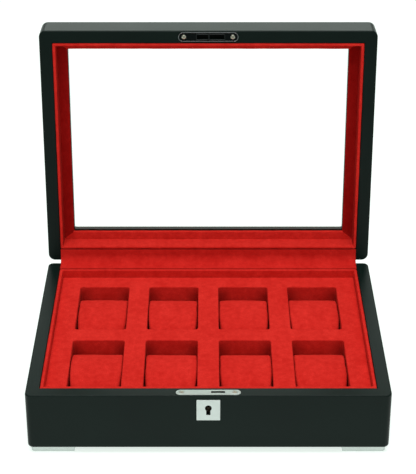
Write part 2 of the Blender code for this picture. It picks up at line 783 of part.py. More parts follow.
def build_strip(case, lid, pin_line, walls):
    """The fabric strip over the hinges, lying in a shallow rebate in both back rims."""
    reach = CAVITY[0] - FIT
    inner_edge = -(PIN_BEHIND + WALL)
    for side, parent, wall in ((-1, pin_line, walls["base"]), (1, lid, walls["lid"])):
        low, high = sorted((-side * 2 * MM, side * (RIM_IN_LID + REBATE)))
        rebate = box_cutter(
            "case_rebate" if side < 0 else "lid_rebate",
            (-CAVITY[0], inner_edge - 2 * MM, low),
            (CAVITY[0], -(PIN_BEHIND + REBATE_LAND), high), parent,
        )
        combine(wall, "DIFFERENCE", rebate)

    level = RIM_IN_LID + REBATE - FIT - STRIP / 2  # middle of the strip, from the pin's plane
    turn = math.pi - LID_ANGLE
    sine = math.sin(LID_ANGLE / 2)
    past_knuckle = KNUCKLE_RADIUS + STRIP_CLEARANCE + STRIP / 2
    bend_radius = (past_knuckle + level / sine) / (1 / sine - 1)
    corner_y = level / math.tan(LID_ANGLE / 2)
    bend = (corner_y - bend_radius * math.tan(turn / 2), bend_radius - level)

    def offset(distance):
        """One face of the strip, from the case's inner edge round to the lid's."""
        start = (inner_edge + FIT, -level + distance)
        curved = arc(bend, bend_radius - distance, -math.pi / 2, -math.pi / 2 + turn, 10)
        along_y, along_z = inner_edge + FIT, level - distance
        cos, sin = math.cos(LID_ANGLE), math.sin(LID_ANGLE)
        end = (along_y * cos + along_z * sin, -along_y * sin + along_z * cos)
        return [start, *curved, end]

    outline = offset(-STRIP / 2) + offset(STRIP / 2)[::-1]
    strip = prism_mesh(outline, 2 * reach)
    strip.transform(Matrix(((0, 0, 1, 0), (1, 0, 0, 0), (0, 1, 0, 0), (0, 0, 0, 1))))
    add_part("hinge_cover_strip", strip, VELVET, pin_line)


# ---------------------------------------------------------------- assembly


def case_shift():
    """How far the case stands forward, so that the open box is centred on the origin."""
    along_y = -(HINGE_Y + DEPTH / 2 - OUTER_FILLET)
    along_z = RIM_IN_LID + LID_HEIGHT - OUTER_FILLET
    back = along_y * math.cos(LID_ANGLE) + along_z * math.sin(LID_ANGLE)
    back += HINGE_Y + OUTER_FILLET
    front = -DEPTH / 2 - ESCUTCHEON_PROUD
    return -(front + back) / 2


def build():
    case = make_empty("case_origin", (0, case_shift(), FOOT_HEIGHT))
    pin_line = make_empty("hinge_line", (0, HINGE_Y, HINGE_Z), parent=case)
    lid = make_empty("lid_axis", (0, HINGE_Y, HINGE_Z), (-LID_ANGLE, 0, 0), case)
    base_walls = build_case(case)
    build_feet(case, base_walls)
    build_tray(case)
    build_cushions(case)
    build_lock(case, base_walls["front"])
    lid_walls = build_lid(lid)
    build_strike(lid, lid_walls["front"])
    backs = {"base": base_walls["back"], "lid": lid_walls["back"]}
    build_hinges(case, lid, pin_line, backs)
    build_strip(case, lid, pin_line, backs)


clear_scene()
PARTS = make_collection("watch_box")
CUTTERS = make_collection("cutters")
LACQUER = make_material("black_lacquer", (0.012, 0.016, 0.014), 0.35)
VELVET = make_material("red_velvet", (0.55, 0.02, 0.015), 0.9)
STEEL = make_material("satin_steel", (0.75, 0.78, 0.76), 0.3, 1.0)
DARK_STEEL = make_material("dark_chrome", (0.25, 0.26, 0.25), 0.25, 1.0)
BRASS = make_material("brass", (0.70, 0.52, 0.22), 0.3, 1.0)
GLAZING = make_material("clear_glass", (0.9, 0.95, 0.93), 0.02, 0.0, 0.3)
build()
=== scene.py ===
"""Watch box: black lacquered case with a glazed lid standing open over eight red velvet wells."""

import json
import math

import bmesh
import bpy
import numpy as np
from bpy.props import FloatProperty, FloatVectorProperty, IntProperty, PointerProperty
from mathutils import Matrix, Vector, noise


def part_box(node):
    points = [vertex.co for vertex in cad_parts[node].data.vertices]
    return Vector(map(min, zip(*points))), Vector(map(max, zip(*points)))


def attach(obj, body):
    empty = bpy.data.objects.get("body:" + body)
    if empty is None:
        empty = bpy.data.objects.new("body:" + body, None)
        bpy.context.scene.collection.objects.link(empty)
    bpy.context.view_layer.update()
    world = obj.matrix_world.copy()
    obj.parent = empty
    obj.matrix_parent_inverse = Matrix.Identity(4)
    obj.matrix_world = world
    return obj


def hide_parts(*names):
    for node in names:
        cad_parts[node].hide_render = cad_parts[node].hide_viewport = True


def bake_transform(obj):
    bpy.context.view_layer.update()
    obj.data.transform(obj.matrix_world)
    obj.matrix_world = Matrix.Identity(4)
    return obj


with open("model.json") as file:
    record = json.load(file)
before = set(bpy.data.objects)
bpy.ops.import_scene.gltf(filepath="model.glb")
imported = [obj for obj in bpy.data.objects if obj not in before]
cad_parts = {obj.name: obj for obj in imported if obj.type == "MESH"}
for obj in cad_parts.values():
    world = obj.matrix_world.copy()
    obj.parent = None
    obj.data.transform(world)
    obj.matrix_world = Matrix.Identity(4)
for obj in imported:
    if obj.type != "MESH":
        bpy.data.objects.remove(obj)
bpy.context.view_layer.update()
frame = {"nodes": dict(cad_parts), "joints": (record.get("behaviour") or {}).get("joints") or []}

bl_info = {
    "name": "Watch Box",
    "version": (1, 0, 0),
    "blender": (4, 5, 0),
    "location": "View3D > Sidebar > Watch Box",
    "description": "Lacquered watch box with a glazed lid, velvet wells and loose cushions",
    "category": "Add Mesh",
}

MM = 0.001
HINGE = Vector(frame["joints"][0]["pos_m"])
LID_ANGLE = math.radians(frame["joints"][0]["range_deg"][1])
FRONT_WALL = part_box("base_wall_front")
BACK_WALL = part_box("base_wall_back")
LEFT_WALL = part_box("base_wall_left")
RIGHT_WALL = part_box("base_wall_right")
CASE_Y = (FRONT_WALL[0].y + BACK_WALL[1].y) / 2
CASE_Z = FRONT_WALL[0].z
WIDTH = RIGHT_WALL[1].x - LEFT_WALL[0].x
DEPTH = BACK_WALL[1].y - FRONT_WALL[0].y
HEIGHT = FRONT_WALL[1].z - CASE_Z
ON_CASE = Matrix.Translation((0, CASE_Y, CASE_Z))
ON_LID = Matrix.Translation(HINGE) @ Matrix.Rotation(-LID_ANGLE, 4, "X")
LID_Y = CASE_Y - HINGE.y  # middle of the closed lid, from the hinge pin
RIM_IN_LID = HINGE.z - FRONT_WALL[1].z
ON_LID_RIM = ON_LID @ Matrix.Translation((0, LID_Y, RIM_IN_LID))
WELLS = [(row, column) for row in (1, 2) for column in (1, 2, 3, 4)]
LOCK_MARGIN = 0.9 * MM  # how much narrower the lock plate is than its node
ESCUTCHEON_MARGIN = 0.4 * MM  # how much smaller a side the escutcheon is than its node
LONG_BAR_MARGIN = 1.4 * MM  # how much narrower the lip and bezel are at the lid's front and back
CLEARANCE = 0.3 * MM  # room round what is let into the case's walls
PAST_FACE = 9 * MM  # how far a cutter runs out past the face that it opens
STRIP_EDGE = 1.5 * MM  # from the back face to the hinge strip's bed
STRIKE = (57 * MM, 9.2 * MM)  # length and breadth of the strike plate


# ---------------------------------------------------------------- settings


def length(name, text, default):
    return FloatProperty(
        name=name, description=text, default=default, min=0, subtype="DISTANCE", unit="LENGTH"
    )


def colour(name, text, default):
    return FloatVectorProperty(
        name=name, description=text, default=default, size=3, subtype="COLOR", min=0, max=1
    )


def share(name, text, default):
    return FloatProperty(
        name=name, description=text, default=default, min=0, max=1, subtype="FACTOR"
    )


def power(name, text, default):
    return FloatProperty(name=name, description=text, default=default, min=0, unit="POWER")


class WatchBoxCaseSettings(bpy.types.PropertyGroup):
    """Sizes of the lacquered case and lid"""

    wall: length("Wall", "Thickness of the case and lid walls", 12 * MM)
    corner: length("Lid corner", "Radius of the lid's upright outer corners", 6.5 * MM)
    case_corner: length("Case corner", "Radius of the case's upright outer corners", 5.2 * MM)
    rim: length("Rim edge", "Rounding of the edges where case and lid meet", 1.2 * MM)
    outer: length("Outer edge", "Rounding of the case's foot and the lid's top", 2.5 * MM)
    lid_height: length("Lid height", "Height of the lid from rim to top", 31.5 * MM)
    lip: length("Lip", "Thickness of the lid frame above the glass", 6.8 * MM)
    rebate: length("Rebate", "Depth of the bed for the hinge strip", 0.8 * MM)
    black: colour("Lacquer", "Colour of the lacquer", (0.0028, 0.0080, 0.0062))


class WatchBoxVelvetSettings(bpy.types.PropertyGroup):
    """The velvet and what it covers"""

    red: colour("Velvet", "Colour of the velvet pile", (0.72, 0.0215, 0.0160))
    # A darker copy of the velvet: painted shade on the lid's inner side walls and the bezel's
    # side bars, where the nap runs across.
    cross: colour("Velvet across", "Colour where the nap runs across", (0.36, 0.0065, 0.0055))
    strip_red: colour("Hinge strip", "Colour of the hinge strip's velvet", (0.65, 0.0170, 0.0130))
    lining: length("Lining", "Thickness of the lining band", 3.0 * MM)
    roll: length("Rolled edge", "Radius of the rolled edges", 1.1 * MM)
    window_roll: length("Window edge", "Radius of the well windows' edges", 0.7 * MM)
    gap: length("Clearance", "Gap between neighbouring pieces", 0.3 * MM)
    window_corner: length("Window corner", "Corner radius of the well windows", 2.8 * MM)
    bezel: length("Bezel", "Visible breadth of the bezel round the glass", 9.2 * MM)
    fill: share("Fill", "How firmly the cushions are stuffed", 0.75)
    strip: length("Strip", "Thickness of the hinge strip", 0.5 * MM)


class WatchBoxMetalSettings(bpy.types.PropertyGroup):
    """Lock furniture, screws and feet"""

    steel: colour("Satin steel", "Colour of the plates and feet", (0.60, 0.650, 0.625))
    chrome: colour("Dark chrome", "Colour of the strike plate", (0.012, 0.016, 0.016))
    brass: colour("Brass", "Colour of the brass screws, hook and hinges", (0.62, 0.42, 0.17))
    arris: length("Arris", "Bevel on the edges of the plates", 0.3 * MM)
    bead: length("Bead", "Radius of the raised outline on the strike plate", 0.32 * MM)
    head: length("Screw head", "Radius of the screw heads", 2.1 * MM)
    dome: length("Dome", "How far a screw head rises", 0.35 * MM)
    seed: IntProperty(name="Seed", description="Turns the screws' slots", default=4, min=0)


class WatchBoxStageSettings(bpy.types.PropertyGroup):
    """Floor, lights and camera"""

    floor: colour("Floor", "Colour of the floor", (0.48, 0.48, 0.48))
    glow: FloatProperty(
        name="Floor glow", description="Light that the floor gives off", default=0.74, min=0
    )
    back: power("Back light", "Power of the light behind", 16.5)
    ambient: FloatProperty(
        name="Surround light", description="Strength of the pale surround", default=0.24, min=0
    )
    top: power("Top light", "Power of the light overhead", 22)
    front: power("Front light", "Power of the light in front", 6)


# ---------------------------------------------------------------- materials


class Wire:
    """One value running through a material, which + - * and / can work on."""

    def __init__(self, finish, socket):
        self.finish = finish
        self.socket = socket

    def math(self, operation, first, second):
        return self.finish.node("ShaderNodeMath", {"operation": operation}, {0: first, 1: second})

    def __add__(self, other):
        return self.math("ADD", self, other)

    def __sub__(self, other):
        return self.math("SUBTRACT", self, other)

    def __rsub__(self, other):
        return self.math("SUBTRACT", other, self)

    def __mul__(self, other):
        return self.math("MULTIPLY", self, other)

    def __truediv__(self, other):
        return self.math("DIVIDE", self, other)

    def __pow__(self, other):
        return self.math("POWER", self, other)

    __radd__ = __add__
    __rmul__ = __mul__


class Finish:
    """A material and the nodes that make it."""

    def __init__(self, name):
        self.material = bpy.data.materials.new(name)
        self.material.use_nodes = True
        self.tree = self.material.node_tree
        self.tree.nodes.clear()

    def node(self, kind, settings=None, sockets=None, output=0):
        made = self.tree.nodes.new(kind)
        for name, value in (settings or {}).items():
            if name == "stops":
                self.set_stops(made.color_ramp, value)
            else:
                setattr(made, name, value)
        for name, value in (sockets or {}).items():
            if isinstance(value, Wire):
                self.tree.links.new(value.socket, made.inputs[name])
            else:
                made.inputs[name].default_value = value
        return None if output is None else Wire(self, made.outputs[output])

    def set_stops(self, ramp, stops):
        while len(ramp.elements) < len(stops):
            ramp.elements.new(0.5)
        for element, (place, value) in zip(ramp.elements, stops):
            element.position = place
            element.color = (value, value, value, 1)

    def place(self, stretch=(1, 1, 1)):
        """Position on the piece, stretched where a grain runs one way."""
        point = self.node("ShaderNodeTexCoord", output="Object")
        if stretch == (1, 1, 1):
            return point
        return self.node("ShaderNodeMapping", None, {"Vector": point, "Scale": stretch})

    def grain(self, point, size, detail=2.0, rough=0.5):
        """Noise whose features are about that size, in metres."""
        return self.node(
            "ShaderNodeTexNoise", None,
            {"Vector": point, "Scale": 1 / size, "Detail": detail, "Roughness": rough},
        )

    def stops(self, value, *stops):
        return self.node("ShaderNodeValToRGB", {"stops": stops}, {"Fac": value})

    def mix(self, factor, first, second):
        def filled(value):
            return value if isinstance(value, Wire) else (*value, 1)

        return self.node(
            "ShaderNodeMix", {"data_type": "RGBA"},
            {0: factor, 6: filled(first), 7: filled(second)}, output=2,
        )

    def bump(self, height, strength, distance, under=None):
        sockets = {"Strength": strength, "Distance": distance, "Height": height}
        if under is not None:
            sockets["Normal"] = under
        return self.node("ShaderNodeBump", None, sockets)

    def shader(self, sockets):
        return self.node("ShaderNodeBsdfPrincipled", None, sockets)

    def done(self, surface):
        self.node("ShaderNodeOutputMaterial", None, {"Surface": surface}, output=None)
        return self.material


def scaled(tint, factor):
    """A lighter or darker colour."""
    return tuple(channel * factor for channel in tint)


def black_lacquer(black):
    """Satin lacquer with a faint orange peel and softly uneven gloss."""
    finish = Finish("black_lacquer")
    point = finish.place()
    cloud = finish.grain(point, 45 * MM, 3.0)
    peel = finish.grain(point, 1.6 * MM, 1.0)
    dust = finish.stops(finish.grain(point, 0.9 * MM, 0.0), (0.70, 0), (0.78, 1))
    return finish.done(finish.shader({
        "Base Color": finish.mix(cloud, black, scaled(black, 1.5)),
        "Roughness": 0.31 + cloud * 0.07 + dust * 0.05,
        "IOR": 1.5,
        "Specular IOR Level": 0.12,
        "Normal": finish.bump(peel, 0.10, 0.05 * MM),
    }))


def red_velvet(name, red, wells=None):
    """Short pile: mottled where the nap is brushed, with a soft sheen at the edges.

    With wells, (pitch, half width, top), shade is painted into the colour down in the wells'
    corners."""
    finish = Finish(name)
    point = finish.place()
    pile = finish.grain(point, 0.45 * MM, 2.0, 0.7)
    nap = finish.grain(point, 5 * MM, 4.0, 0.6)
    brushed = finish.grain(finish.place((1, 0.35, 1)), 14 * MM, 3.0, 0.55)
    worked = finish.stops(nap * 0.6 + brushed * 0.4, (0.36, 0), (0.64, 1))
    high = (min(1, red[0] * 1.09), red[1] * 1.7, red[2] * 1.7)
    body = finish.mix(worked, scaled(red, 0.80), high)
    shaded = finish.mix(
        finish.stops(pile, (0.30, 0), (0.62, 1)), scaled(red, 0.74), body
    )
    # painted shade: the velvet darker down in the wells' corners
    if wells is not None:
        shaded = finish.mix(painted_well_corner_shade(finish, point, *wells), shaded, scaled(red, 0.25))
    fibres = finish.bump(pile, 0.55, 0.25 * MM)
    return finish.done(finish.shader({
        "Base Color": shaded,
        "Roughness": 0.86 + worked * 0.12,
        "Specular IOR Level": 0.0,
        "Sheen Weight": 0.08,
        "Sheen Roughness": 0.6,
        "Sheen Tint": (1.0, 0.16, 0.12, 1),
        "Normal": finish.bump(nap, 0.30, 0.35 * MM, fibres),
    }))


def painted_well_corner_shade(finish, point, pitch, half, top):
    """How much painted shade a point gets, near a corner of its well and far down: 0 to 0.65."""
    across, upright = (
        finish.node("ShaderNodeSeparateXYZ", None, {"Vector": point}, output=axis)
        for axis in (0, 2)
    )
    turn = finish.node("ShaderNodeMath", {"operation": "FRACT"}, {0: across / pitch})
    off = finish.node("ShaderNodeMath", {"operation": "ABSOLUTE"}, {0: turn - 0.5}) * pitch
    corner = finish.stops((off - half * 0.45) / (half * 0.55), (0.0, 0), (1.0, 1))
    deeper = finish.stops((top - upright) / (9 * MM), (0.1, 0.2), (1.0, 1))
    return corner * deeper * 0.65


def brushed_metal(name, tint, rough, stretch=(1, 1, 1)):
    """Plated metal, with a grain that the stretch draws out along an axis."""
    finish = Finish(name)
    grain = finish.grain(finish.place(stretch), 0.25 * MM, 2.0, 0.6)
    stain = finish.grain(finish.place(), 6 * MM, 3.0)
    return finish.done(finish.shader({
        "Base Color": finish.mix(stain, tint, scaled(tint, 0.86)),
        "Metallic": 1.0,
        "Roughness": rough + grain * 0.12 + stain * 0.06,
        "Normal": finish.bump(grain, 0.12, 0.04 * MM),
    }))


def clear_glass():
    """Float glass: see-through face on, with a little gloss and dust."""
    finish = Finish("clear_glass")
    dust = finish.stops(finish.grain(finish.place(), 3 * MM, 5.0, 0.7), (0.62, 0), (0.80, 1))
    pane = finish.shader({
        "Base Color": (0.88, 0.93, 0.91, 1),
        "Metallic": 1.0,
        "Roughness": 0.02 + dust * 0.08,
    })
    clear = finish.node("ShaderNodeBsdfTransparent", None, {"Color": (0.985, 0.995, 0.99, 1)})
    facing = finish.node("ShaderNodeLayerWeight", None, {"Blend": 0.5}, output=1)
    gloss = facing ** 5 * 0.85 + 0.015 + dust * 0.01
    return finish.done(finish.node("ShaderNodeMixShader", None, {0: gloss, 1: clear, 2: pane}))


def pale_floor(tint, glow):
    """A table lit from below, whose light dies away well in front of the box."""
    finish = Finish("pale_floor")
    along = finish.node("ShaderNodeSeparateXYZ", None, {"Vector": finish.place()}, output=1)
    dark_from, fade = 0.75, 0.55
    lit = finish.stops((along + dark_from) / fade, (0.0, 0), (1.0, 1))
    return finish.done(finish.shader({
        "Base Color": finish.mix(lit, scaled(tint, 0.6), tint),
        "Roughness": 0.9,
        "Specular IOR Level": 0.1,
        "Emission Color": finish.mix(lit, (0.20, 0.22, 0.21), (0.96, 1.06, 1.0)),
        "Emission Strength": glow,
    }))


FINISHES = {}


def finish_for(name):
    """Each finish is made once and shared by every piece that has it."""
    if name in FINISHES:
        return FINISHES[name]
    scene = bpy.context.scene
    metal, velvet = scene.watch_box_metal, scene.watch_box_velvet
    metals = {  # name of the material, colour, roughness and grain
        # near-black metal, painted shade for the keyhole, the lock slot and what lies behind them
        "shade": ("painted_shade_black", (0.035, 0.028, 0.020), 0.55),
        "satin_steel": ("satin_steel", tuple(metal.steel), 0.30, (0.03, 1, 1)),
        "dark_chrome": ("dark_chrome", tuple(metal.chrome), 0.16),
        # one chrome for the strike plate's raised outlines: painted highlight on the outer bead,
        # painted shade on the slot rims, a brighter painted highlight on the round ends
        "polished": ("polished", (0.10, 0.115, 0.115), 0.16),
        "highlight_chrome": ("highlight_chrome", (0.30, 0.33, 0.33), 0.24),
        "shaded_chrome": ("shaded_chrome", (0.035, 0.042, 0.042), 0.2),
        "nickel": ("nickel", (0.52, 0.52, 0.42), 0.30),
        "pale_brass": ("pale_brass", (0.62, 0.60, 0.52), 0.30),
        "brass": ("brass", tuple(metal.brass), 0.26, (1, 0.1, 1)),
    }
    velvets = {  # name of the material and colour
        "velvet": ("red_velvet", tuple(velvet.red)),
        # painted shade: the darker velvet for the lid's side walls and the bezel's side bars
        "velvet_cross_shade": ("red_velvet_cross", tuple(velvet.cross)),
        "velvet_strip": ("red_velvet_strip", tuple(velvet.strip_red)),
    }
    if name in metals:
        made = brushed_metal(*metals[name])
    elif name in velvets:
        made = red_velvet(*velvets[name])
    # velvet with painted shade in the wells' corners
    elif name == "velvet_shaded_wells":
        _, pitch, _, width, _ = well_sizes()
        wells = (pitch, width / 2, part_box("tray_deck")[1].z)
        made = red_velvet("red_velvet_wells", tuple(velvet.red), wells)
    elif name == "glass":
        made = clear_glass()
    else:
        made = black_lacquer(tuple(scene.watch_box_case.black))
    FINISHES[name] = made
    return made


# ---------------------------------------------------------------- making meshes


def arc(centre, radius, start, end, steps):
    angles = [start + (end - start) * step / steps for step in range(steps + 1)]
    return [(centre[0] + radius * math.cos(a), centre[1] + radius * math.sin(a)) for a in angles]


def circle(centre, radius):
    return arc(centre, radius, 0, 2 * math.pi, 28)[:-1]


def between(first, second, count):
    """Points from the first, on a straight line that stops short of the second."""
    return [
        tuple(a + (b - a) * step / count for a, b in zip(first, second)) for step in range(count)
    ]


def rounded_outline(half_x, half_y, radius, steps, divide=(1, 1), middle=(0, 0)):
    """A rectangle with round corners; divide gives the parts of its sides along X and along Y."""
    signs = ((1, 1), (-1, 1), (-1, -1), (1, -1))
    points = []
    for turn, (sx, sy) in enumerate(signs):
        centre = (middle[0] + sx * (half_x - radius), middle[1] + sy * (half_y - radius))
        start = turn * math.pi / 2
        points += arc(centre, radius, start, start + math.pi / 2, steps)
        next_x, next_y = signs[(turn + 1) % 4]
        if turn % 2 == 0:
            far = (middle[0] + next_x * (half_x - radius), middle[1] + sy * half_y)
        else:
            far = (middle[0] + sx * half_x, middle[1] + next_y * (half_y - radius))
        points += between(points[-1], far, divide[turn % 2])[1:]
    return points


def stadium(length_x, breadth):
    """A strip with half-round ends, along X."""
    reach = (length_x - breadth) / 2
    right = arc((reach, 0), breadth / 2, -math.pi / 2, math.pi / 2, 14)
    return right + arc((-reach, 0), breadth / 2, math.pi / 2, 3 * math.pi / 2, 14)


def rectangle(x0, x1, y0, y1):
    return [(x0, y0), (x1, y0), (x1, y1), (x0, y1)]


def mesh_from(name, shape):
    mesh = bpy.data.meshes.new(name)
    bmesh.ops.recalc_face_normals(shape, faces=shape.faces[:])
    shape.to_mesh(mesh)
    shape.free()
    return mesh


def bridge(shape, loops, around=True):
    """Faces between each line of points and the next."""
    for first, second in zip(loops, loops[1:]):
        for step in range(len(first) if around else len(first) - 1):
            after = (step + 1) % len(first)
            shape.faces.new((first[step], first[after], second[after], second[step]))


def swept_ring(name, profile, outline):
    """A closed ring: outline(inset, radius) at each (inset, radius, height) of the profile."""
    shape = bmesh.new()
    loops = [
        [shape.verts.new((x, y, height)) for x, y in outline(inset, radius)]
        for inset, radius, height in profile
    ]
    bridge(shape, loops + loops[:1])
    return mesh_from(name, shape)


def plate_mesh(name, outline, thickness, holes=(), top=0.0):
    """A flat plate under z = top, with holes."""
    curve = bpy.data.curves.new(name, "CURVE")
    curve.dimensions = "2D"
    curve.fill_mode = "BOTH"
    curve.extrude = thickness / 2
    for points in (outline, *holes):
        spline = curve.splines.new("POLY")
        spline.points.add(len(points) - 1)
        for target, (x, y) in zip(spline.points, points):
            target.co = (x, y, 0, 1)
        spline.use_cyclic_u = True
    obj = bpy.data.objects.new(name, curve)
    bpy.context.scene.collection.objects.link(obj)
    mesh = bpy.data.meshes.new_from_object(
        obj.evaluated_get(bpy.context.evaluated_depsgraph_get())
    )
    bpy.data.objects.remove(obj, do_unlink=True)
    shape = bmesh.new()
    shape.from_mesh(mesh)
    bmesh.ops.remove_doubles(shape, verts=shape.verts[:], dist=0.002 * MM)
    bmesh.ops.dissolve_limit(
        shape, angle_limit=math.radians(0.5), verts=shape.verts[:], edges=shape.edges[:]
    )
    bmesh.ops.translate(shape, verts=shape.verts[:], vec=(0, 0, top - thickness / 2))
    return mesh_from(name, shape)


def block_mesh(low, high):
    shape = bmesh.new()
    low, high = Vector(low), Vector(high)
    size = Matrix.Diagonal((*(high - low), 1))
    bmesh.ops.create_cube(shape, size=1, matrix=Matrix.Translation((low + high) / 2) @ size)
    return mesh_from("block", shape)


def make_object(name, mesh):
    obj = bpy.data.objects.new(name, mesh)
    bpy.context.scene.collection.objects.link(obj)
    return obj


def evaluated_mesh(obj):
    """The object's mesh with its modifiers applied."""
    bpy.context.view_layer.update()
    depsgraph = bpy.context.evaluated_depsgraph_get()
    return bpy.data.meshes.new_from_object(obj.evaluated_get(depsgraph))


def apply_modifiers(obj):
    mesh = evaluated_mesh(obj)
    obj.modifiers.clear()
    obj.data = mesh
    return obj


def cut(obj, *meshes):
    """Takes the meshes away from the object."""
    tools = [make_object("cutter", mesh) for mesh in meshes]
    for tool in tools:
        modifier = obj.modifiers.new("Cut", "BOOLEAN")
        modifier.solver = "EXACT"
        modifier.object = tool
    apply_modifiers(obj)
    for tool in tools:
        bpy.data.objects.remove(tool, do_unlink=True)


def bevel(obj, width, segments):
    modifier = obj.modifiers.new("Arris", "BEVEL")
    modifier.width = width
    modifier.segments = segments
    modifier.limit_method = "ANGLE"
    modifier.angle_limit = math.radians(40)
    apply_modifiers(obj)


def smooth(obj, angle=35):
    """Smooth shading that keeps broad faces flat and edges over the angle sharp."""
    shade_to(obj, angle)
    modifier = obj.modifiers.new("Normals", "WEIGHTED_NORMAL")
    modifier.keep_sharp = True
    modifier.weight = 90
    apply_modifiers(obj)


def shade_to(obj, angle):
    """Smooth shading, with edges over the angle sharp."""
    obj.data.shade_smooth()
    obj.data.set_sharp_from_angle(angle=math.radians(angle))


def metal_plate(name, outline, thickness, holes, arris, segments=2):
    """A plate under z = 0 with bevelled edges."""
    plate = make_object(name, plate_mesh(name, outline, thickness, holes))
    bevel(plate, arris, segments)
    smooth(plate, 50)
    return plate


def soften(mesh, amount, size, seed=0.0):
    """Moves a cloth surface in and out a little, by smooth noise."""
    normals = [vertex.normal.copy() for vertex in mesh.vertices]
    for vertex, normal in zip(mesh.vertices, normals):
        shift = noise.noise(vertex.co / size + Vector((seed, seed * 1.7, -seed)))
        vertex.co += normal * shift * amount
    mesh.update()


def settle(obj, slot, body, *replaced, place=None, finish=None, second=None):
    """Places a finished piece and puts it on its body, in its finish."""
    obj.data.name = obj.name
    obj.data.materials.clear()
    obj.data.materials.append(finish_for(finish or slot))
    if second is not None:
        second_finish(obj, *second)
    if place is not None:
        obj.data.transform(place)
        obj.data.update()
    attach(obj, body)
    if replaced:
        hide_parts(*replaced)
    return obj


def second_finish(obj, slot, chosen):
    """Gives the faces that chosen(middle, normal) picks another finish."""
    obj.data.materials.append(finish_for(slot))
    for face in obj.data.polygons:
        if chosen(face.center, face.normal):
            face.material_index = len(obj.data.materials) - 1


def refinish(node, slot):
    """A piece of the frame that keeps its shape."""
    obj = frame["nodes"][node]
    for material_slot in obj.material_slots:
        material_slot.material = finish_for(slot)


def rolled(inset_out, inset_in, low, high, radius, steps=5):
    """Profile of a band with rounded upper edges, as (inset, height)."""
    left = arc((inset_out + radius, high - radius), radius, math.pi, math.pi / 2, steps)
    right = arc((inset_in - radius, high - radius), radius, math.pi / 2, 0, steps)
    return [(inset_out, low), *left, *right, (inset_in, low)]


# ---------------------------------------------------------------- geometry node trees


class Build:
    """A geometry node tree with named inputs."""

    def __init__(self, name, inputs):
        self.tree = bpy.data.node_groups.new(name, "GeometryNodeTree")
        face = self.tree.interface
        face.new_socket("Geometry", in_out="INPUT", socket_type="NodeSocketGeometry")
        for label, kind, value in inputs:
            socket = face.new_socket(label, in_out="INPUT", socket_type=kind)
            socket.default_value = value
        face.new_socket("Geometry", in_out="OUTPUT", socket_type="NodeSocketGeometry")
        self.given = self.tree.nodes.new("NodeGroupInput").outputs

    def node(self, kind, settings=None, sockets=None, output=0):
        made = self.tree.nodes.new(kind)
        for name, value in (settings or {}).items():
            setattr(made, name, value)
        for name, value in (sockets or {}).items():
            for one in value if isinstance(value, list) else [value]:
                if isinstance(one, bpy.types.NodeSocket):
                    self.tree.links.new(one, made.inputs[name])
                else:
                    made.inputs[name].default_value = one
        return made.outputs[output] if output is not None else made

    def end(self, geometry, material):
        real = self.node("GeometryNodeRealizeInstances", None, {"Geometry": geometry})
        last = self.node(
            "GeometryNodeSetMaterial", None, {"Geometry": real, "Material": material}
        )
        self.node("NodeGroupOutput", None, {"Geometry": last}, output=None)
        return self.tree


def screw_tree(material):
    """A domed, cross-slotted head on each point, turned at random."""
    build = Build("screw_heads", [
        ("Head Radius", "NodeSocketFloat", 2 * MM),
        ("Dome", "NodeSocketFloat", 0.3 * MM),
        ("Slot Width", "NodeSocketFloat", 0.5 * MM),
        ("Slot Depth", "NodeSocketFloat", 0.5 * MM),
        ("Seed", "NodeSocketInt", 0),
    ])
    given = build.given

    def maths(operation, first, second):
        return build.node("ShaderNodeMath", {"operation": operation}, {0: first, 1: second})

    def vector(x, y, z):
        return build.node("ShaderNodeCombineXYZ", None, {"X": x, "Y": y, "Z": z})

    dome = build.node(
        "GeometryNodeMeshUVSphere", None,
        {"Segments": 28, "Rings": 14, "Radius": given["Head Radius"]},
    )
    flat = maths("DIVIDE", given["Dome"], given["Head Radius"])
    dome = build.node(
        "GeometryNodeTransform", None, {"Geometry": dome, "Scale": vector(1.0, 1.0, flat)}
    )
    rim = build.node(
        "GeometryNodeMeshCone", None,
        {
            "Vertices": 28, "Radius Top": given["Head Radius"],
            "Radius Bottom": maths("MULTIPLY", given["Head Radius"], 0.55), "Depth": 1.2 * MM,
        },
    )
    rim = build.node(
        "GeometryNodeTransform", None, {"Geometry": rim, "Translation": (0, 0, -1.22 * MM)}
    )
    head = build.node(
        "GeometryNodeMeshBoolean", {"operation": "UNION", "solver": "EXACT"},
        {"Mesh 2": [dome, rim]},
    )
    across = maths("MULTIPLY", given["Head Radius"], 1.25)
    deep = maths("MULTIPLY", given["Slot Depth"], 2.0)
    slots = [
        build.node("GeometryNodeMeshCube", None, {"Size": vector(*size)})
        for size in ((across, given["Slot Width"], deep), (given["Slot Width"], across, deep))
    ]
    high = vector(0.0, 0.0, given["Dome"])
    slots = [
        build.node("GeometryNodeTransform", None, {"Geometry": slot, "Translation": high})
        for slot in slots
    ]
    head = build.node(
        "GeometryNodeMeshBoolean", {"operation": "DIFFERENCE", "solver": "EXACT"},
        {"Mesh 1": head, "Mesh 2": slots},
    )
    turn = build.node(
        "FunctionNodeRandomValue", {"data_type": "FLOAT"},
        {"Min": 0.0, "Max": 1.5, "Seed": given["Seed"]}, output=1,
    )
    points = build.node(
        "GeometryNodeMeshToPoints", None, {"Mesh": given["Geometry"], "Radius": 0.1 * MM}
    )
    heads = build.node(
        "GeometryNodeInstanceOnPoints", None,
        {"Points": points, "Instance": head, "Rotation": vector(0.0, 0.0, turn)},
    )
    return build.end(heads, material)


def bead_tree(material):
    """A half-round bead along every outline."""
    build = Build("raised_outline", [("Bead Radius", "NodeSocketFloat", 0.3 * MM)])
    line = build.node("GeometryNodeMeshToCurve", None, {"Mesh": build.given["Geometry"]})
    section = build.node(
        "GeometryNodeCurvePrimitiveCircle", None,
        {"Resolution": 10, "Radius": build.given["Bead Radius"]},
    )
    bead = build.node(
        "GeometryNodeCurveToMesh", None, {"Curve": line, "Profile Curve": section}
    )
    return build.end(bead, material)


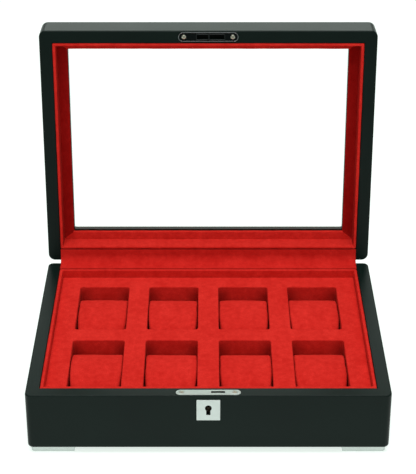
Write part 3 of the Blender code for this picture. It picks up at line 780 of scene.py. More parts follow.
def liner_tree(material):
    """One well liner on each point of a grid."""
    build = Build("well_grid", [
        ("Columns", "NodeSocketInt", 4),
        ("Rows", "NodeSocketInt", 2),
        ("Column Pitch", "NodeSocketFloat", 68 * MM),
        ("Row Pitch", "NodeSocketFloat", 99 * MM),
    ])
    given = build.given

    def span(count, pitch):
        steps = build.node(
            "ShaderNodeMath", {"operation": "SUBTRACT"}, {0: given[count], 1: 1.0}
        )
        return build.node(
            "ShaderNodeMath", {"operation": "MULTIPLY"}, {0: steps, 1: given[pitch]}
        )

    grid = build.node(
        "GeometryNodeMeshGrid", None,
        {
            "Size X": span("Columns", "Column Pitch"), "Size Y": span("Rows", "Row Pitch"),
            "Vertices X": given["Columns"], "Vertices Y": given["Rows"],
        },
    )
    wells = build.node(
        "GeometryNodeInstanceOnPoints", None, {"Points": grid, "Instance": given["Geometry"]}
    )
    return build.end(wells, material)


def run_tree(obj, tree, **values):
    """Runs a geometry node tree on the object and keeps the result as a plain mesh."""
    modifier = obj.modifiers.new(tree.name, "NODES")
    modifier.node_group = tree
    names = {item.name: item.identifier for item in tree.interface.items_tree
             if item.item_type == "SOCKET" and item.in_out == "INPUT"}
    for label, value in values.items():
        modifier[names[label.replace("_", " ")]] = value
    return apply_modifiers(obj)


def points_mesh(name, points):
    mesh = bpy.data.meshes.new(name)
    mesh.from_pydata(points, [], [])
    return mesh


def outline_mesh(name, outlines, height):
    """Closed lines, as edges only."""
    points, edges = [], []
    for outline in outlines:
        first, count = len(points), len(outline)
        points += [(x, y, height) for x, y in outline]
        edges += [(first + step, first + (step + 1) % count) for step in range(count)]
    mesh = bpy.data.meshes.new(name)
    mesh.from_pydata(points, edges, [])
    return mesh


# ---------------------------------------------------------------- case and lid


def frame_outline(corner_steps, divide=(1, 1), inside=None):
    """Outline maker for rings that follow the case: (inset, radius) to points.

    Loops whose inset passes inside lie nearer the lid's front and back walls."""
    def outline(inset, radius):
        nearer = LONG_BAR_MARGIN if inside is not None and inset > inside else 0.0
        return rounded_outline(
            WIDTH / 2 - inset, DEPTH / 2 - inset + nearer, radius, corner_steps, divide
        )
    return outline


def shell_profile(corner, low_edge, high_edge, height, tail):
    """Outer face from foot to top, then the given inner part, as (inset, radius, height)."""
    quarter = [math.pi / 2 * step / 5 for step in range(6)]
    foot = [
        (low_edge * (1 - math.cos(a)), low_edge * (1 - math.sin(a))) for a in reversed(quarter)
    ]
    top = [
        (high_edge * (1 - math.cos(a)), height - high_edge * (1 - math.sin(a))) for a in quarter
    ]
    return [(inset, corner - inset, z) for inset, z in foot + top] + tail


def strip_bed(wall, left, right, low, high):
    """Cutter for the hinge strip's bed in the back wall."""
    return block_mesh(
        (left, DEPTH / 2 - wall - 2 * MM, low), (right, DEPTH / 2 - STRIP_EDGE, high)
    )


def case_body(case):
    """The case's walls as one lacquered shell, cut for the lock, the strip and the hinges."""
    wall, small = case.wall, 0.35 * MM
    tail = [
        (wall - small, 0.9 * MM, HEIGHT), (wall, 0.6 * MM, HEIGHT - small),
        (wall, 0.6 * MM, small), (wall - small, 0.9 * MM, 0),
    ]
    profile = shell_profile(case.case_corner, case.outer, case.rim, HEIGHT, tail)
    obj = make_object("case_body", swept_ring("case_body", profile, frame_outline(10)))

    def local(node, grow):
        low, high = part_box(node)
        shift = Vector((0, CASE_Y, CASE_Z))
        grown = Vector((grow, grow, grow))
        return low - shift - grown, high - shift + grown

    above = HEIGHT + PAST_FACE
    wall_y = -(DEPTH / 2 - wall / 2)
    low, high = local("lock_plate", CLEARANCE)
    plate_bed = plate_mesh(
        "bed", stadium(high.x - low.x, high.y - low.y - LOCK_MARGIN), PAST_FACE - low.z + HEIGHT,
        top=above,
    )
    plate_bed.transform(Matrix.Translation((0, wall_y - LOCK_MARGIN / 2, 0)))
    low, high = local("lock_case", CLEARANCE)
    mortise = block_mesh(low, (high.x, high.y, above))
    low, high = local("escutcheon", CLEARANCE)
    margin = Vector((ESCUTCHEON_MARGIN, 0, ESCUTCHEON_MARGIN))
    low, high = low + margin, high - margin
    escutcheon_bed = block_mesh((low.x, low.y - PAST_FACE, low.z), high)
    low, high = local("key_pin", 0)
    half, under, over = 2.1 * MM, 6.3 * MM, 2.2 * MM  # the key's way, round its pin
    key_way = block_mesh(
        (-half, low.y - PAST_FACE, low.z - under), (half, wall_y, high.z + over)
    )
    low, high = local("hinge_cover_strip", CLEARANCE)
    beds = [strip_bed(wall, low.x, high.x, HEIGHT - case.rebate, above)]
    for side in ("left", "right"):
        low, high = local(f"hinge_{side}_case_leaf", CLEARANCE)
        beds.append(block_mesh(low, (high.x, DEPTH / 2 + PAST_FACE, above)))
    cut(obj, plate_bed, mortise, escutcheon_bed, key_way, *beds)
    smooth(obj)
    settle(
        obj, "lacquered_wood", "case", "base_wall_front", "base_wall_back", "base_wall_left",
        "base_wall_right", place=ON_CASE,
    )
    refinish("base_bottom_panel", "lacquered_wood")


def lid_body(case, velvet):
    """The lid's walls and lip as one lacquered shell, made closed and swung open."""
    wall, small, tall = case.wall, 0.35 * MM, case.lid_height
    window = wall + velvet.lining + 2 * velvet.gap + velvet.bezel
    under = tall - case.lip
    tail = [
        (window - 0.8 * MM, 2.0 * MM, tall), (window - 0.25 * MM, 1.5 * MM, tall - 0.25 * MM),
        (window, 1.2 * MM, tall - 0.8 * MM), (window, 1.2 * MM, under + small),
        (window - small, 1.5 * MM, under), (wall, 0.6 * MM, under),
        (wall, 0.6 * MM, small), (wall - small, 0.9 * MM, 0),
    ]
    profile = shell_profile(case.corner, case.rim, case.outer, tall, tail)
    obj = make_object(
        "lid_body", swept_ring("lid_body", profile, frame_outline(10, inside=wall + MM))
    )

    gap = velvet.gap
    front = -(DEPTH / 2 - wall / 2)
    bed = plate_mesh(
        "bed", stadium(*(side + 2 * gap for side in STRIKE)), 11 * MM, top=1.3 * MM + gap
    )
    bed.transform(Matrix.Translation((0, front, 0)))
    half_pocket = 2.5 * MM
    pocket = block_mesh(
        (-11.2 * MM, front - half_pocket, -PAST_FACE), (15.4 * MM, front + half_pocket, 10 * MM)
    )
    half = WIDTH / 2 - wall
    beds = [strip_bed(wall, -half, half, -PAST_FACE, case.rebate)]
    leaf, thick = 9.3 * MM, 1.5 * MM  # how far the housing of a hinge leaf goes in and down
    for side in ("left", "right"):
        low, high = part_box(f"hinge_{side}_lid_leaf")
        beds.append(block_mesh(
            (low.x - gap, DEPTH / 2 - leaf, -PAST_FACE),
            (high.x + gap, DEPTH / 2 + PAST_FACE, case.rebate + thick),
        ))
    cut(obj, bed, pocket, *beds)
    smooth(obj)
    settle(
        obj, "lacquered_wood", "lid", "lid_wall_front", "lid_wall_back", "lid_wall_left",
        "lid_wall_right", place=ON_LID_RIM,
    )
    refinish("lid_glass", "glass")


# ---------------------------------------------------------------- velvet


def velvet_band(name, profile, seed, inside=None):
    """A ring of velvet on card, with the profile as (inset, height)."""
    middle = sum(inset for inset, _ in profile) / len(profile)
    mesh = swept_ring(
        name, [(inset, 0.7 * MM + max(0, middle - inset) * 0.3, z) for inset, z in profile],
        frame_outline(3, (50, 36), inside),
    )
    soften(mesh, 0.16 * MM, 14 * MM, seed)
    obj = make_object(name, mesh)
    smooth(obj, 60)
    return obj


def case_lining(case, velvet):
    """The band round the inside of the case."""
    start = case.wall + velvet.gap
    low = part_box("base_lining")[0].z - CASE_Z
    profile = rolled(start, start + velvet.lining, low, HEIGHT, velvet.roll)
    obj = velvet_band("case_lining", profile, 1.0)
    settle(obj, "velvet", "case", "base_lining", place=ON_CASE)


def lid_lining(case, velvet):
    """The band round the inside of the lid and the bezel that holds the glass, with painted shade
    on their sides.
    """
    start = case.wall + velvet.gap
    glass, board = 3 * MM, 3.2 * MM  # thickness of the glass and of the bezel
    glass_low = case.lid_height - case.lip - velvet.gap - glass
    bezel_high = glass_low - velvet.gap
    bezel_low = bezel_high - board

    # faces of the band that look in along X get painted shade, the darker velvet
    def shaded_inner_side(middle, normal):
        return middle.x * normal.x < -0.8 * abs(middle.x)

    # the bezel's side bars get painted shade, the darker velvet
    def shaded_side_bar(middle, normal):
        return WIDTH / 2 - abs(middle.x) < DEPTH / 2 - abs(middle.y)

    deep = bezel_low - velvet.gap
    band = rolled(start, start + velvet.lining, -deep, 0, velvet.roll)
    lining = velvet_band("lid_lining", [(inset, -z) for inset, z in band], 2.0)
    settle(
        lining, "velvet", "lid", "lid_lining", place=ON_LID_RIM,
        second=("velvet_cross_shade", shaded_inner_side),
    )

    inner = start + velvet.lining + velvet.gap + velvet.bezel
    below, behind = 1.0 * MM, 0.5 * MM  # radii of the bezel's inner edges
    nose = arc((inner - below, bezel_low + below), below, -math.pi / 2, 0, 4)
    heel = arc((inner - behind, bezel_high - behind), behind, 0, math.pi / 2, 3)
    bezel = velvet_band(
        "lid_bezel", [(start, bezel_low), *nose, *heel, (start, bezel_high)], 3.0, start + MM
    )
    settle(
        bezel, "velvet", "lid", "lid_bezel", place=ON_LID_RIM, second=("velvet_cross_shade", shaded_side_bar)
    )


def well_sizes():
    """Middle of the wells' grid, the pitches and the window size, from the frame's bars."""
    cross = [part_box(f"tray_cross_bar_1_{number}") for number in (1, 2)]
    middle_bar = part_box("tray_bar_middle")
    width = cross[1][0].x - cross[0][1].x
    pitch_x = cross[1][0].x - cross[0][0].x
    front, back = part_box("tray_bar_front")[1].y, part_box("tray_bar_back")[0].y
    depth = middle_bar[0].y - front
    pitch_y = depth + middle_bar[1].y - middle_bar[0].y
    return (front + back) / 2 - CASE_Y, pitch_x, pitch_y, width, depth


def tray(velvet):
    """The deck with its eight windows, and the liners that wall the wells."""
    middle_y, pitch_x, pitch_y, width, depth = well_sizes()
    low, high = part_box("tray_deck")
    top = high.z - CASE_Z
    roll, corner = velvet.window_roll, velvet.window_corner
    half_x, half_y = high.x, (high.y - low.y) / 2
    centre_y = (high.y + low.y) / 2 - CASE_Y
    windows = [
        rounded_outline(
            width / 2 + roll, depth / 2 + roll, corner + roll, 5,
            middle=((column - 2.5) * pitch_x, middle_y + (row - 1.5) * pitch_y),
        )
        for row, column in WELLS
    ]
    outline = rounded_outline(half_x, half_y, 1.2 * MM, 4, middle=(0, centre_y))
    deck = make_object("tray_deck_velvet", plate_mesh(
        "tray_deck_velvet", outline, high.z - low.z, windows, top
    ))
    smooth(deck, 50)
    settle(deck, "velvet", "case", "tray_deck", place=ON_CASE)

    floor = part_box("tray_bar_left")[0].z - CASE_Z
    turned = [
        (roll * math.cos(a), top - roll + roll * math.sin(a))
        for a in (math.pi / 2 * step / 6 for step in range(6, -1, -1))
    ]
    board, under = 2.2 * MM, top - 2.6 * MM
    section = [
        *[(roll - x, z) for x, z in turned], (0.0, floor), (board, floor), (board, under),
        (roll, under),
    ]

    shape = bmesh.new()
    rings = []
    base = rounded_outline(width / 2, depth / 2, corner, 5, (9, 15))
    for offset, z in section:
        ring = []
        for x, y in base:
            nx, ny = outward(x, y, width / 2, depth / 2, corner)
            ring.append(shape.verts.new((x + nx * offset, y + ny * offset, z)))
        rings.append(ring)
    bridge(shape, rings + rings[:1])
    liner = make_object("well_liners", mesh_from("well_liners", shape))
    smooth(liner, 50)
    run_tree(
        liner, liner_tree(finish_for("velvet_shaded_wells")), Columns=4, Rows=2, Column_Pitch=pitch_x,
        Row_Pitch=pitch_y,
    )
    liner.data.transform(Matrix.Translation((0, middle_y, 0)))
    bars = [name for name in frame["nodes"] if name.startswith("tray_") and name != "tray_deck"]
    settle(liner, "velvet", "case", *sorted(bars), place=ON_CASE, finish="velvet_shaded_wells")
    refinish("well_floor_card", "velvet")


def outward(x, y, half_x, half_y, corner):
    """The direction away from a rounded rectangle's middle at a point of its outline."""
    cx = min(max(x, -(half_x - corner)), half_x - corner)
    cy = min(max(y, -(half_y - corner)), half_y - corner)
    away = Vector((x - cx, y - cy))
    if away.length < 1e-9:
        return (0.0, 0.0)
    away.normalize()
    return (away.x, away.y)


# ---------------------------------------------------------------- cushions


def roll_mesh(low, high):
    """A padded roll along X before stuffing: a sewn tube with an end piece at each side."""
    size, middle = high - low, (high + low) / 2
    around, along, inner = 56, 22, 7
    squareness = 2 / 2.35  # 1 would make the roll's section an ellipse

    def ring(across, part):
        points = []
        for step in range(around):
            angle = 2 * math.pi * (step + 0.5) / around
            c, s = math.cos(angle), math.sin(angle)
            front, under = max(0.0, -c) ** 1.3, max(0.0, -s) ** 2
            drawn = part * (1 - (0.10 * front + 0.08 * under) * abs(across) ** 12)
            x = across * size.x / 2 * (1 - 0.09 * front - 0.05 * under)
            y = math.copysign(abs(c) ** squareness, c) * size.y / 2 * drawn
            z = math.copysign(abs(s) ** squareness, s) * size.z / 2 * drawn
            points.append(middle + Vector((x, y, z)))
        return points

    rings = [ring(-1, step / inner) for step in range(1, inner)]
    rings += [ring(2 * step / along - 1, 1.0) for step in range(along + 1)]
    rings += [ring(1, step / inner) for step in range(inner - 1, 0, -1)]
    shape = bmesh.new()
    loops = [[shape.verts.new(point) for point in points] for points in rings]
    bridge(shape, loops)
    for loop in (loops[0], loops[-1]):
        hub = shape.verts.new(sum((vert.co for vert in loop), Vector()) / around)
        for step in range(around):
            shape.faces.new((loop[step], loop[(step + 1) % around], hub))
    return mesh_from("roll", shape)


def coordinates(mesh):
    found = np.empty(len(mesh.vertices) * 3)
    mesh.vertices.foreach_get("co", found)
    return found.reshape(-1, 3)


def set_coordinates(mesh, points):
    mesh.vertices.foreach_set("co", points.ravel())
    mesh.update()


def stuff(cushions):
    """Blows the cushions up as cloth, all together, at ten times their size."""
    scale, frames = 10.0, 20
    most = 0.9 * MM  # how far any point may move from the pattern
    rest = {}
    for obj in cushions:
        points = coordinates(obj.data)
        rest[obj.name] = points.copy()
        set_coordinates(obj.data, points * scale)
        cloth = obj.modifiers.new("Stuffing", "CLOTH")
        settings = cloth.settings
        settings.quality = 6
        settings.use_pressure = True
        settings.uniform_pressure_force = 4.0
        settings.effector_weights.gravity = 0.0
        settings.tension_stiffness = 25
        settings.compression_stiffness = 25
        settings.bending_stiffness = 4
        cloth.collision_settings.use_collision = False
        cloth.point_cache.frame_end = frames
    scene = bpy.context.scene
    for number in range(1, frames + 1):
        scene.frame_set(number)
    swollen = {obj.name: coordinates(evaluated_mesh(obj)) / scale for obj in cushions}
    for obj in cushions:
        obj.modifiers.clear()
        move = swollen[obj.name] - rest[obj.name]
        far = np.linalg.norm(move, axis=1, keepdims=True)
        move *= np.minimum(1.0, most / np.maximum(far, 1e-9))
        set_coordinates(obj.data, rest[obj.name] + move)
    scene.frame_set(1)


def fit_between(mesh, low, high):
    """Scales the mesh so that it fills a box exactly."""
    points = coordinates(mesh)
    first, last = points.min(0), points.max(0)
    low, high = np.array(low), np.array(high)
    set_coordinates(mesh, low + (points - first) / (last - first) * (high - low))


def cushions(velvet):
    """Eight loose cushions, each its own stuffed piece."""
    made = []
    for number, (row, column) in enumerate(WELLS):
        name = f"cushion_{row}_{column}"
        low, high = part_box(name)
        inset = Vector((0.0, 0.7, 0.6)) * MM
        obj = make_object(f"velvet_{name}", roll_mesh(low + inset, high - inset))
        soften(obj.data, 0.35 * MM, 17 * MM, number * 3.1)
        made.append(obj)
    stuff(made)
    fuller = Vector((0.6 * MM, 0, 0))  # how much a cushion's velvet stands out a side
    for number, ((row, column), obj) in enumerate(zip(WELLS, made)):
        node = f"cushion_{row}_{column}"
        low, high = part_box(node)
        sunk = Vector((0, 0, 0.9 * MM * abs(math.sin(2.3 * number))))
        low, high = low - fuller, high + fuller - sunk
        flatten(obj.data, low, high)
        obj.data.shade_smooth()
        finer = obj.modifiers.new("Finer", "SUBSURF")
        finer.levels = finer.render_levels = 1
        apply_modifiers(obj)
        fit_between(obj.data, low, high)
        settle(obj, "velvet", node, node)


def flatten(mesh, low, high):
    """Trims a cushion's ends flat, fits it to a box and gives it a foot to lie on."""
    points = coordinates(mesh)
    points[:, 0] -= (low.x + high.x) / 2
    half = np.abs(points[:, 0]).max() - 0.7 * MM
    points[:, 0] = np.clip(points[:, 0], -half, half)
    set_coordinates(mesh, points)
    fit_between(mesh, low, high)
    points = coordinates(mesh)
    foot = low.z + 1.0 * MM
    below = points[:, 2] < foot
    points[below, 2] = foot - (foot - points[below, 2]) * 0.25 - 0.75 * MM
    set_coordinates(mesh, points)


# ---------------------------------------------------------------- hinge strip


def hinge_strip(case, velvet):
    """The strip over the hinges: a sheet that turns from the case's rim up to the lid's."""
    thick, angle = velvet.strip, LID_ANGLE
    level = RIM_IN_LID + case.rebate - velvet.gap - thick / 2
    turn, sine = math.pi - angle, math.sin(angle / 2)
    knuckle, room = 1.8 * MM, 0.36 * MM
    past_knuckle = knuckle + room + thick / 2
    radius = (past_knuckle + level / sine) / (1 / sine - 1)
    centre = (
        level / math.tan(angle / 2) - radius * math.tan(turn / 2), radius - level
    )
    edge = -(HINGE.y - CASE_Y - DEPTH / 2 + case.wall) + velvet.gap
    bend = arc(centre, radius, -math.pi / 2, -math.pi / 2 + turn, 16)
    start = (edge, -level)
    end = (
        edge * math.cos(angle) + level * math.sin(angle),
        -edge * math.sin(angle) + level * math.cos(angle),
    )
    path = between(start, bend[0], 6) + bend[:-1] + between(bend[-1], end, 6) + [end]
    reach = WIDTH / 2 - case.wall - velvet.gap
    columns = 60
    shape = bmesh.new()
    rows = []
    for y, z in path:
        rows.append([
            shape.verts.new((-reach + 2 * reach * step / columns, HINGE.y + y, HINGE.z + z))
            for step in range(columns + 1)
        ])
    bridge(shape, rows, around=False)
    mesh = bpy.data.meshes.new("hinge_strip")
    shape.normal_update()
    shape.to_mesh(mesh)
    shape.free()
    obj = make_object("hinge_strip", mesh)
    solid = obj.modifiers.new("Cloth", "SOLIDIFY")
    solid.thickness = thick
    solid.offset = 0
    solid.use_even_offset = True
    apply_modifiers(obj)
    shade_to(obj, 50)
    obj.data.materials.clear()
    obj.data.materials.append(finish_for("velvet_strip"))
    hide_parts("hinge_cover_strip")
    HINGE.y + bend[0][0]
    HINGE.z + bend[0][1]
    HINGE.y + bend[-1][0]
    HINGE.z + bend[-1][1]
    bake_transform(obj)


# ---------------------------------------------------------------- metalwork


def hinges():
    """Hinge leaves and pins, which keep their shape."""
    for side in ("left", "right"):
        refinish(f"hinge_{side}_case_leaf", "brass")
        refinish(f"hinge_{side}_lid_leaf", "brass")
        refinish(f"hinge_{side}_pin", "satin_steel")


def screw_set(
    name, slot, finish, body, points, place, metal, replaced, seed=0, radius=None, second=None
):
    """Screw heads at points of the plate's plane, in one piece for their body."""
    obj = make_object(name, points_mesh(name, points))
    run_tree(
        obj, screw_tree(finish_for(finish)), Head_Radius=radius or metal.head, Dome=metal.dome,
        Slot_Width=0.55 * MM, Slot_Depth=0.55 * MM, Seed=metal.seed + seed,
    )
    shade_to(obj, 40)
    settle(obj, slot, body, *replaced, place=place, finish=finish, second=second)


def lock(metal):
    """Lock plate, its screws, the escutcheon, and the hook and case behind them."""
    low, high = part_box("lock_plate")
    high.y -= LOCK_MARGIN
    middle = (low + high) / 2
    line = LOCK_MARGIN / 2  # the hook's plane, from the middle of the plate
    slot = rectangle(2.4 * MM, 14.5 * MM, line - 1.4 * MM, line + 1.4 * MM)
    screws = [(-23.2 * MM, line), (23.2 * MM, line)]
    holes = [slot] + [circle(point, metal.head + 0.1 * MM) for point in screws]
    plate = metal_plate(
        "lock_plate_satin", stadium(high.x - low.x, high.y - low.y), high.z - low.z, holes,
        metal.arris / 2,
    )

    # the slot's walls get painted shade
    def slot_wall(middle, normal):
        return (
            abs(normal.z) < 0.5 and 1 * MM < middle.x < 16 * MM and abs(middle.y - line) < 2 * MM
        )

    place = Matrix.Translation((0, middle.y, high.z))
    settle(
        plate, "satin_steel", "case", "lock_plate", place=place, second=("shade", slot_wall)
    )
    screw_set(
        "lock_screws", "brass", "pale_brass", "case", [(x, y, -0.30 * MM) for x, y in screws],
        place, metal, ("lock_screw_left", "lock_screw_right"),
        second=("brass", lambda middle, normal: middle.z < -0.2 * MM),
    )

    low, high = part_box("escutcheon")
    key = (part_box("key_pin")[0].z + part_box("key_pin")[1].z) / 2
    drop = key - (low.z + high.z) / 2
    radius, half, foot = 2.9 * MM, 1.8 * MM, -7.0 * MM
    meet = math.asin(half / radius)
    keyhole = [
        *arc((0, 0), radius, -math.pi / 2 + meet, 3 * math.pi / 2 - meet, 28),
        (-half, foot), (half, foot),
    ]
    outline = rounded_outline(
        (high.x - low.x) / 2 - ESCUTCHEON_MARGIN, (high.z - low.z) / 2 - ESCUTCHEON_MARGIN,
        0.35 * MM, 3, middle=(0, -drop),
    )
    escutcheon = metal_plate(
        "escutcheon_satin", outline, high.y - low.y, [keyhole], 0.25 * MM
    )

    # the keyhole's walls get painted shade
    def keyhole_wall(middle, normal):
        return abs(normal.z) < 0.5 and abs(middle.x) < 4 * MM and -7.4 * MM < middle.y < 4 * MM

    upright = Matrix.Translation((0, low.y, key)) @ Matrix.Rotation(math.pi / 2, 4, "X")
    settle(
        escutcheon, "satin_steel", "case", "escutcheon", place=upright,
        second=("shade", keyhole_wall),
    )
    # the key pin and the lock case behind the keyhole get painted shade, not their own metal
    refinish("key_pin", "shade")
    refinish("lock_case", "shade")
    refinish("lock_hook", "brass")


def strike(metal):
    """Strike plate with its raised outlines, and its two domed screws."""
    half_slot = 2.5 * MM
    slots = [
        rectangle(-10.9 * MM, -0.2 * MM, -half_slot, half_slot),
        rectangle(1.3 * MM, 15.1 * MM, -half_slot, half_slot),
    ]
    screws = [(-23.1 * MM, 0.0), (23.1 * MM, 0.0)]
    holes = slots + [circle(point, metal.head + 0.1 * MM) for point in screws]
    plate = metal_plate(
        "strike_plate_dark", stadium(*STRIKE), 1.4 * MM, holes, metal.arris * 0.6
    )
    face = RIM_IN_LID - 0.1 * MM
    place = (
        ON_LID @ Matrix.Translation((0, LID_Y - DEPTH / 2 + 6 * MM, face))
        @ Matrix.Rotation(math.pi, 4, "X")
    )
    settle(plate, "dark_chrome", "lid", "strike_plate", place=place)

    bead = metal.bead
    edge = stadium(*(side - 2.4 * bead for side in STRIKE))
    slot_edges = [
        rounded_outline(
            (right - left) / 2 + 1.3 * bead, half_slot + 0.6 * bead, 0.7 * MM, 4,
            middle=((right + left) / 2, 0),
        )
        for (left, _), (right, _), *_ in slots
    ]
    # The raised outlines' tints are painted: highlight along the outer bead, shade on the slot
    # rims, a brighter highlight on the round ends.
    for name, finish, outlines in (
        ("strike_outline", "polished", [edge]), ("slot_outlines", "shaded_chrome", slot_edges)
    ):
        rims = make_object(name, outline_mesh(name, outlines, -0.25 * bead))
        run_tree(rims, bead_tree(finish_for(finish)), Bead_Radius=bead)
        rims.data.shade_smooth()
        settle(
            rims, "dark_chrome", "lid", place=place, finish=finish,
            second=("highlight_chrome", lambda middle, normal: abs(middle.x) > 25.2 * MM),
        )
    screw_set(
        "strike_screws", "satin_steel", "nickel", "lid", [(x, y, 0.05 * MM) for x, y in screws],
        place, metal, ("strike_screw_left", "strike_screw_right"), 3,
    )


def feet(metal):
    """Corner brackets under the case, and their screws."""
    breadth, turn = 14 * MM, 3.7 * MM
    places = []
    for name, sx, sy in (
        ("front_left", -1, -1), ("front_right", 1, -1), ("back_left", -1, 1), ("back_right", 1, 1)
    ):
        low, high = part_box("foot_" + name)
        corner = Vector((high.x if sx > 0 else low.x, high.y if sy > 0 else low.y, 0))
        leg = high.x - low.x
        outline = [
            (-leg, 0), (-leg, -breadth), (-breadth - MM, -breadth), (-breadth, -breadth - MM),
            (-breadth, -leg), (0, -leg), *arc((-turn, -turn), turn, 0, math.pi / 2, 6),
        ]
        outline = [(sx * x, sy * y) for x, y in outline]
        low_s, high_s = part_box("foot_screw_" + name)
        screw = (low_s + high_s) / 2
        hole = circle((screw.x - corner.x, screw.y - corner.y), 3.3 * MM)
        foot = metal_plate(
            "foot_bracket_" + name, outline, high.z - low.z, [hole], 0.45 * MM, 3
        )
        settle(
            foot, "satin_steel", "case", "foot_" + name,
            place=Matrix.Translation((corner.x, corner.y, high.z)),
        )
        places.append((screw.x, -screw.y, -(low_s.z + 0.25 * MM)))
    screw_set(
        "foot_screws", "brass", "brass", "case", places, Matrix.Rotation(math.pi, 4, "X"), metal,
        [name for name in sorted(frame["nodes"]) if name.startswith("foot_screw")], 9, 3.0 * MM,
    )


# ---------------------------------------------------------------- stage


def soft_light(name, power, size, place, target):
    data = bpy.data.lights.new(name, "AREA")
    data.energy = power
    data.shape = "RECTANGLE"
    data.size, data.size_y = size
    obj = bpy.data.objects.new(name, data)
    bpy.context.scene.collection.objects.link(obj)
    obj.location = place
    obj.rotation_euler = (Vector(target) - Vector(place)).to_track_quat("-Z", "Y").to_euler()
    return obj


def stage(settings):
    """Pale floor, soft lights and the camera."""
    shape = bmesh.new()
    bmesh.ops.create_grid(
        shape, x_segments=8, y_segments=8, size=9, matrix=Matrix.Translation((0, 0, -0.2 * MM))
    )
    floor = make_object("floor", mesh_from("floor", shape))
    floor.data.materials.append(pale_floor(tuple(settings.floor), settings.glow))

    world = bpy.data.worlds.new("studio")
    world.use_nodes = True
    background = world.node_tree.nodes["Background"]
    background.inputs["Color"].default_value = (0.91, 1.0, 0.96, 1)
    background.inputs["Strength"].default_value = settings.ambient
    bpy.context.scene.world = world

    soft_light("top_light", settings.top, (1.5, 1.1), (0, -0.25, 1.6), (0, 0, 0.05))
    back = soft_light("back_light", settings.back, (1.8, 2.2), (0, 3.0, 1.5), (0, 0, 0.2))
    back.data.color = (0.90, 1.0, 0.93)
    soft_light("front_light", settings.front, (0.4, 0.8), (0, -1.9, 1.3), (0, 0, 0.1))

    camera = bpy.data.objects.new("camera", bpy.data.cameras.new("camera"))
    bpy.context.scene.collection.objects.link(camera)
    camera.data.lens = 118.15
    camera.data.sensor_width = 36
    camera.location = (-0.0003, -1.270, 0.8185)
    camera.rotation_euler = (math.radians(90 - 28.1), 0, 0)
    camera.data.clip_end = 50
    bpy.context.scene.camera = camera
    bpy.context.scene.view_settings.view_transform = "Standard"


# ---------------------------------------------------------------- operators


class WATCH_BOX_OT_case_body(bpy.types.Operator):
    """Build the lacquered case"""

    bl_idname = "watch_box.case_body"
    bl_label = "Case"
    bl_options = {"REGISTER", "UNDO"}

    def execute(self, context):
        case_body(context.scene.watch_box_case)
        return {"FINISHED"}


class WATCH_BOX_OT_lid_body(bpy.types.Operator):
    """Build the lacquered lid and finish its glass"""

    bl_idname = "watch_box.lid_body"
    bl_label = "Lid"
    bl_options = {"REGISTER", "UNDO"}

    def execute(self, context):
        lid_body(context.scene.watch_box_case, context.scene.watch_box_velvet)
        return {"FINISHED"}


class WATCH_BOX_OT_linings(bpy.types.Operator):
    """Build the velvet bands inside case and lid, and the bezel"""

    bl_idname = "watch_box.linings"
    bl_label = "Linings and bezel"
    bl_options = {"REGISTER", "UNDO"}

    def execute(self, context):
        case_lining(context.scene.watch_box_case, context.scene.watch_box_velvet)
        lid_lining(context.scene.watch_box_case, context.scene.watch_box_velvet)
        return {"FINISHED"}


class WATCH_BOX_OT_tray(bpy.types.Operator):
    """Build the velvet tray with its eight wells"""

    bl_idname = "watch_box.tray"
    bl_label = "Tray"
    bl_options = {"REGISTER", "UNDO"}

    def execute(self, context):
        tray(context.scene.watch_box_velvet)
        return {"FINISHED"}


class WATCH_BOX_OT_cushions(bpy.types.Operator):
    """Stuff the eight cushions"""

    bl_idname = "watch_box.cushions"
    bl_label = "Cushions"
    bl_options = {"REGISTER", "UNDO"}

    def execute(self, context):
        cushions(context.scene.watch_box_velvet)
        return {"FINISHED"}


class WATCH_BOX_OT_hinge_strip(bpy.types.Operator):
    """Lay the fabric strip over the hinges"""

    bl_idname = "watch_box.hinge_strip"
    bl_label = "Hinge strip"
    bl_options = {"REGISTER", "UNDO"}

    def execute(self, context):
        hinge_strip(context.scene.watch_box_case, context.scene.watch_box_velvet)
        return {"FINISHED"}


class WATCH_BOX_OT_hinges(bpy.types.Operator):
    """Finish the hinges"""

    bl_idname = "watch_box.hinges"
    bl_label = "Hinges"
    bl_options = {"REGISTER", "UNDO"}

    def execute(self, context):
        hinges()
        return {"FINISHED"}


class WATCH_BOX_OT_lock(bpy.types.Operator):
    """Build the lock plate, its screws and the escutcheon"""

    bl_idname = "watch_box.lock"
    bl_label = "Lock"
    bl_options = {"REGISTER", "UNDO"}

    def execute(self, context):
        lock(context.scene.watch_box_metal)
        return {"FINISHED"}


class WATCH_BOX_OT_strike(bpy.types.Operator):
    """Build the strike plate and its screws"""

    bl_idname = "watch_box.strike"
    bl_label = "Strike plate"
    bl_options = {"REGISTER", "UNDO"}

    def execute(self, context):
        strike(context.scene.watch_box_metal)
        return {"FINISHED"}


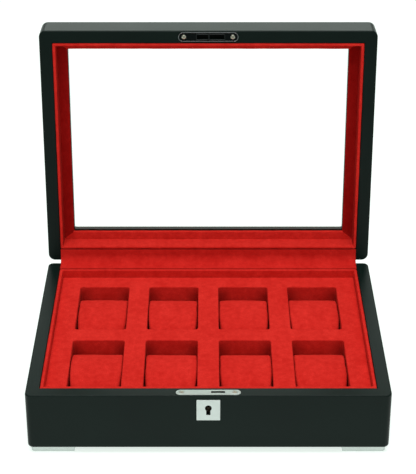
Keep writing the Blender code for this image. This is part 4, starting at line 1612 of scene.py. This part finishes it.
class WATCH_BOX_OT_feet(bpy.types.Operator):
    """Build the corner feet and their screws"""

    bl_idname = "watch_box.feet"
    bl_label = "Feet"
    bl_options = {"REGISTER", "UNDO"}

    def execute(self, context):
        feet(context.scene.watch_box_metal)
        return {"FINISHED"}


class WATCH_BOX_OT_stage(bpy.types.Operator):
    """Set the floor, lights and camera"""

    bl_idname = "watch_box.stage"
    bl_label = "Stage"
    bl_options = {"REGISTER", "UNDO"}

    def execute(self, context):
        stage(context.scene.watch_box_stage)
        return {"FINISHED"}


PIECES = (
    WATCH_BOX_OT_case_body, WATCH_BOX_OT_lid_body, WATCH_BOX_OT_linings, WATCH_BOX_OT_tray,
    WATCH_BOX_OT_cushions, WATCH_BOX_OT_hinge_strip, WATCH_BOX_OT_hinges, WATCH_BOX_OT_lock,
    WATCH_BOX_OT_strike, WATCH_BOX_OT_feet, WATCH_BOX_OT_stage,
)
SETTINGS = {
    "watch_box_case": WatchBoxCaseSettings,
    "watch_box_velvet": WatchBoxVelvetSettings,
    "watch_box_metal": WatchBoxMetalSettings,
    "watch_box_stage": WatchBoxStageSettings,
}


class VIEW3D_PT_watch_box(bpy.types.Panel):
    """Settings and pieces of the watch box"""

    bl_label = "Watch Box"
    bl_space_type = "VIEW_3D"
    bl_region_type = "UI"
    bl_category = "Watch Box"

    def draw(self, context):
        for name in SETTINGS:
            group = getattr(context.scene, name)
            box = self.layout.box()
            for setting in group.__annotations__:
                box.prop(group, setting)
        for piece in PIECES:
            self.layout.operator(piece.bl_idname)


def register():
    for cls in (*SETTINGS.values(), *PIECES, VIEW3D_PT_watch_box):
        bpy.utils.register_class(cls)
    for name, cls in SETTINGS.items():
        setattr(bpy.types.Scene, name, PointerProperty(type=cls))


def unregister():
    for name in SETTINGS:
        delattr(bpy.types.Scene, name)
    for cls in (VIEW3D_PT_watch_box, *reversed(PIECES), *SETTINGS.values()):
        bpy.utils.unregister_class(cls)


def main():
    register()
    for piece in PIECES:
        group, name = piece.bl_idname.split(".")
        getattr(getattr(bpy.ops, group), name)()


if __name__ == "__main__":
    main()
